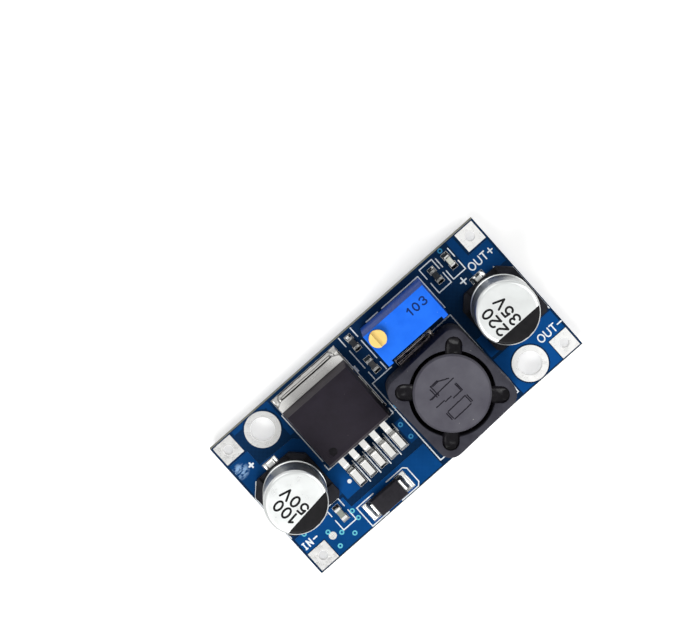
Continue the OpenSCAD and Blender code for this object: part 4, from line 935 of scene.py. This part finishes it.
def eased(node, width, angle=30, segments=2, smooth=40):
    """A copy of a CAD node with its sharp edges rounded, which stands for the node."""
    bm = bmesh.new()
    bm.from_mesh(NODES[node].data)
    bmesh.ops.remove_doubles(bm, verts=bm.verts, dist=2e-7)
    bmesh.ops.dissolve_limit(bm, angle_limit=math.radians(0.6), verts=bm.verts, edges=bm.edges)
    bm.normal_update()
    edges = [e for e in bm.edges
             if len(e.link_faces) == 2 and e.calc_face_angle(0) > math.radians(angle)]
    bmesh.ops.bevel(bm, geom=edges, offset=width * MM, offset_type="OFFSET", segments=segments,
                    profile=0.5, affect="EDGES", clamp_overlap=True)
    bmesh.ops.triangulate(bm, faces=[f for f in bm.faces if len(f.verts) > 4])
    me = bpy.data.meshes.new(node + "_eased")
    bm.to_mesh(me)
    bm.free()
    me.materials.clear()
    me.materials.append(NODES[node].data.materials[0])
    me.shade_smooth()
    me.set_sharp_from_angle(angle=math.radians(smooth))
    slot = [s["material_slot"] for s in frame["record"]["subparts"] if s["node"] == node][0]
    link(node + "_eased", me, body=NODES[node]["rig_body"], slot=slot, stands_for=[node])


for node, width in (("regulator_body", 0.06), ("inductor_shield", 0.12), ("trimmer_housing", 0.07),
                    ("diode_body", 0.06), ("lamp_lens", 0.04)):
    eased(node, width)

# ------------------------------------------------------------------ floor, light and camera

FLOOR_HALF = 3          # metres
FLOOR_GLOW, WORLD_LIGHT = 0.46, 0.36

floor = bpy.data.meshes.new("floor")
floor.from_pydata([(x, y, 0) for x, y in rect(-FLOOR_HALF, -FLOOR_HALF, FLOOR_HALF, FLOOR_HALF)],
                  [], [(0, 1, 2, 3)])
f = Mat("floor_white", Base_Color=(0.82, 0.82, 0.82, 1), Roughness=0.9, Specular_IOR_Level=0.0)
path = f.new("LightPath")
seen = f.maths("MAXIMUM", path.outputs["Is Camera Ray"],
               f.maths("MAXIMUM", path.outputs["Is Glossy Ray"], path.outputs["Is Transmission Ray"]))
f.set(Emission_Color=(1, 1, 1, 1), Emission_Strength=f.maths("MULTIPLY", seen, FLOOR_GLOW))
floor.materials.append(f.mat)
stage = bpy.data.objects.new("floor", floor)
bpy.context.scene.collection.objects.link(stage)

world = bpy.data.worlds.new("studio")
bpy.context.scene.world = world
world.use_nodes = True
t = world.node_tree
t.nodes.clear()
out = t.nodes.new("ShaderNodeOutputWorld")
lit, seen_bg = t.nodes.new("ShaderNodeBackground"), t.nodes.new("ShaderNodeBackground")
mixer, rays = t.nodes.new("ShaderNodeMixShader"), t.nodes.new("ShaderNodeLightPath")
shown = rays.outputs["Is Camera Ray"]
for kind in ("Is Glossy Ray", "Is Transmission Ray"):
    either = t.nodes.new("ShaderNodeMath")
    either.operation = "MAXIMUM"
    t.links.new(shown, either.inputs[0])
    t.links.new(rays.outputs[kind], either.inputs[1])
    shown = either.outputs[0]
lit.inputs["Strength"].default_value = WORLD_LIGHT
seen_bg.inputs["Strength"].default_value = 1.0
t.links.new(shown, mixer.inputs[0])
t.links.new(lit.outputs[0], mixer.inputs[1])
t.links.new(seen_bg.outputs[0], mixer.inputs[2])
t.links.new(mixer.outputs[0], out.inputs[0])


def softbox(name, place, size, power):
    """A square area lamp aimed at the object's middle."""
    lamp = bpy.data.lights.new(name, "AREA")
    lamp.shape = "SQUARE"
    lamp.size = size
    lamp.energy = power
    obj = bpy.data.objects.new(name, lamp)
    bpy.context.scene.collection.objects.link(obj)
    obj.location = place
    obj.rotation_euler = (Vector((0, 0, 0.005)) - Vector(place)).to_track_quat("-Z", "Y").to_euler()


softbox("key", (-0.50, -0.35, 0.75), 0.55, 7.0)
softbox("fill", (0.60, -0.15, 0.60), 0.6, 3.0)
softbox("back", (0.05, 0.75, 0.55), 0.5, 1.0)

# the photo's camera: its place from the board's middle in millimetres, and its turn in degrees
EYE = (21.835, 53.554, 437.848)
EYE_TURN = (-5.8093, -1.7152, -41.5534)

camera = bpy.data.cameras.new("camera")
camera.sensor_width = 36
camera.lens = 184.363
camera.clip_start, camera.clip_end = 0.01, 20
eye = bpy.data.objects.new("camera", camera)
bpy.context.scene.collection.objects.link(eye)
middle = (BOARD_LO + BOARD_HI) / 2
eye.location = (middle.x + EYE[0] * MM, middle.y + EYE[1] * MM, UNDER + EYE[2] * MM)
eye.rotation_euler = Euler([math.radians(a) for a in EYE_TURN])
bpy.context.scene.camera = eye
bpy.context.scene.view_settings.view_transform = "Standard"
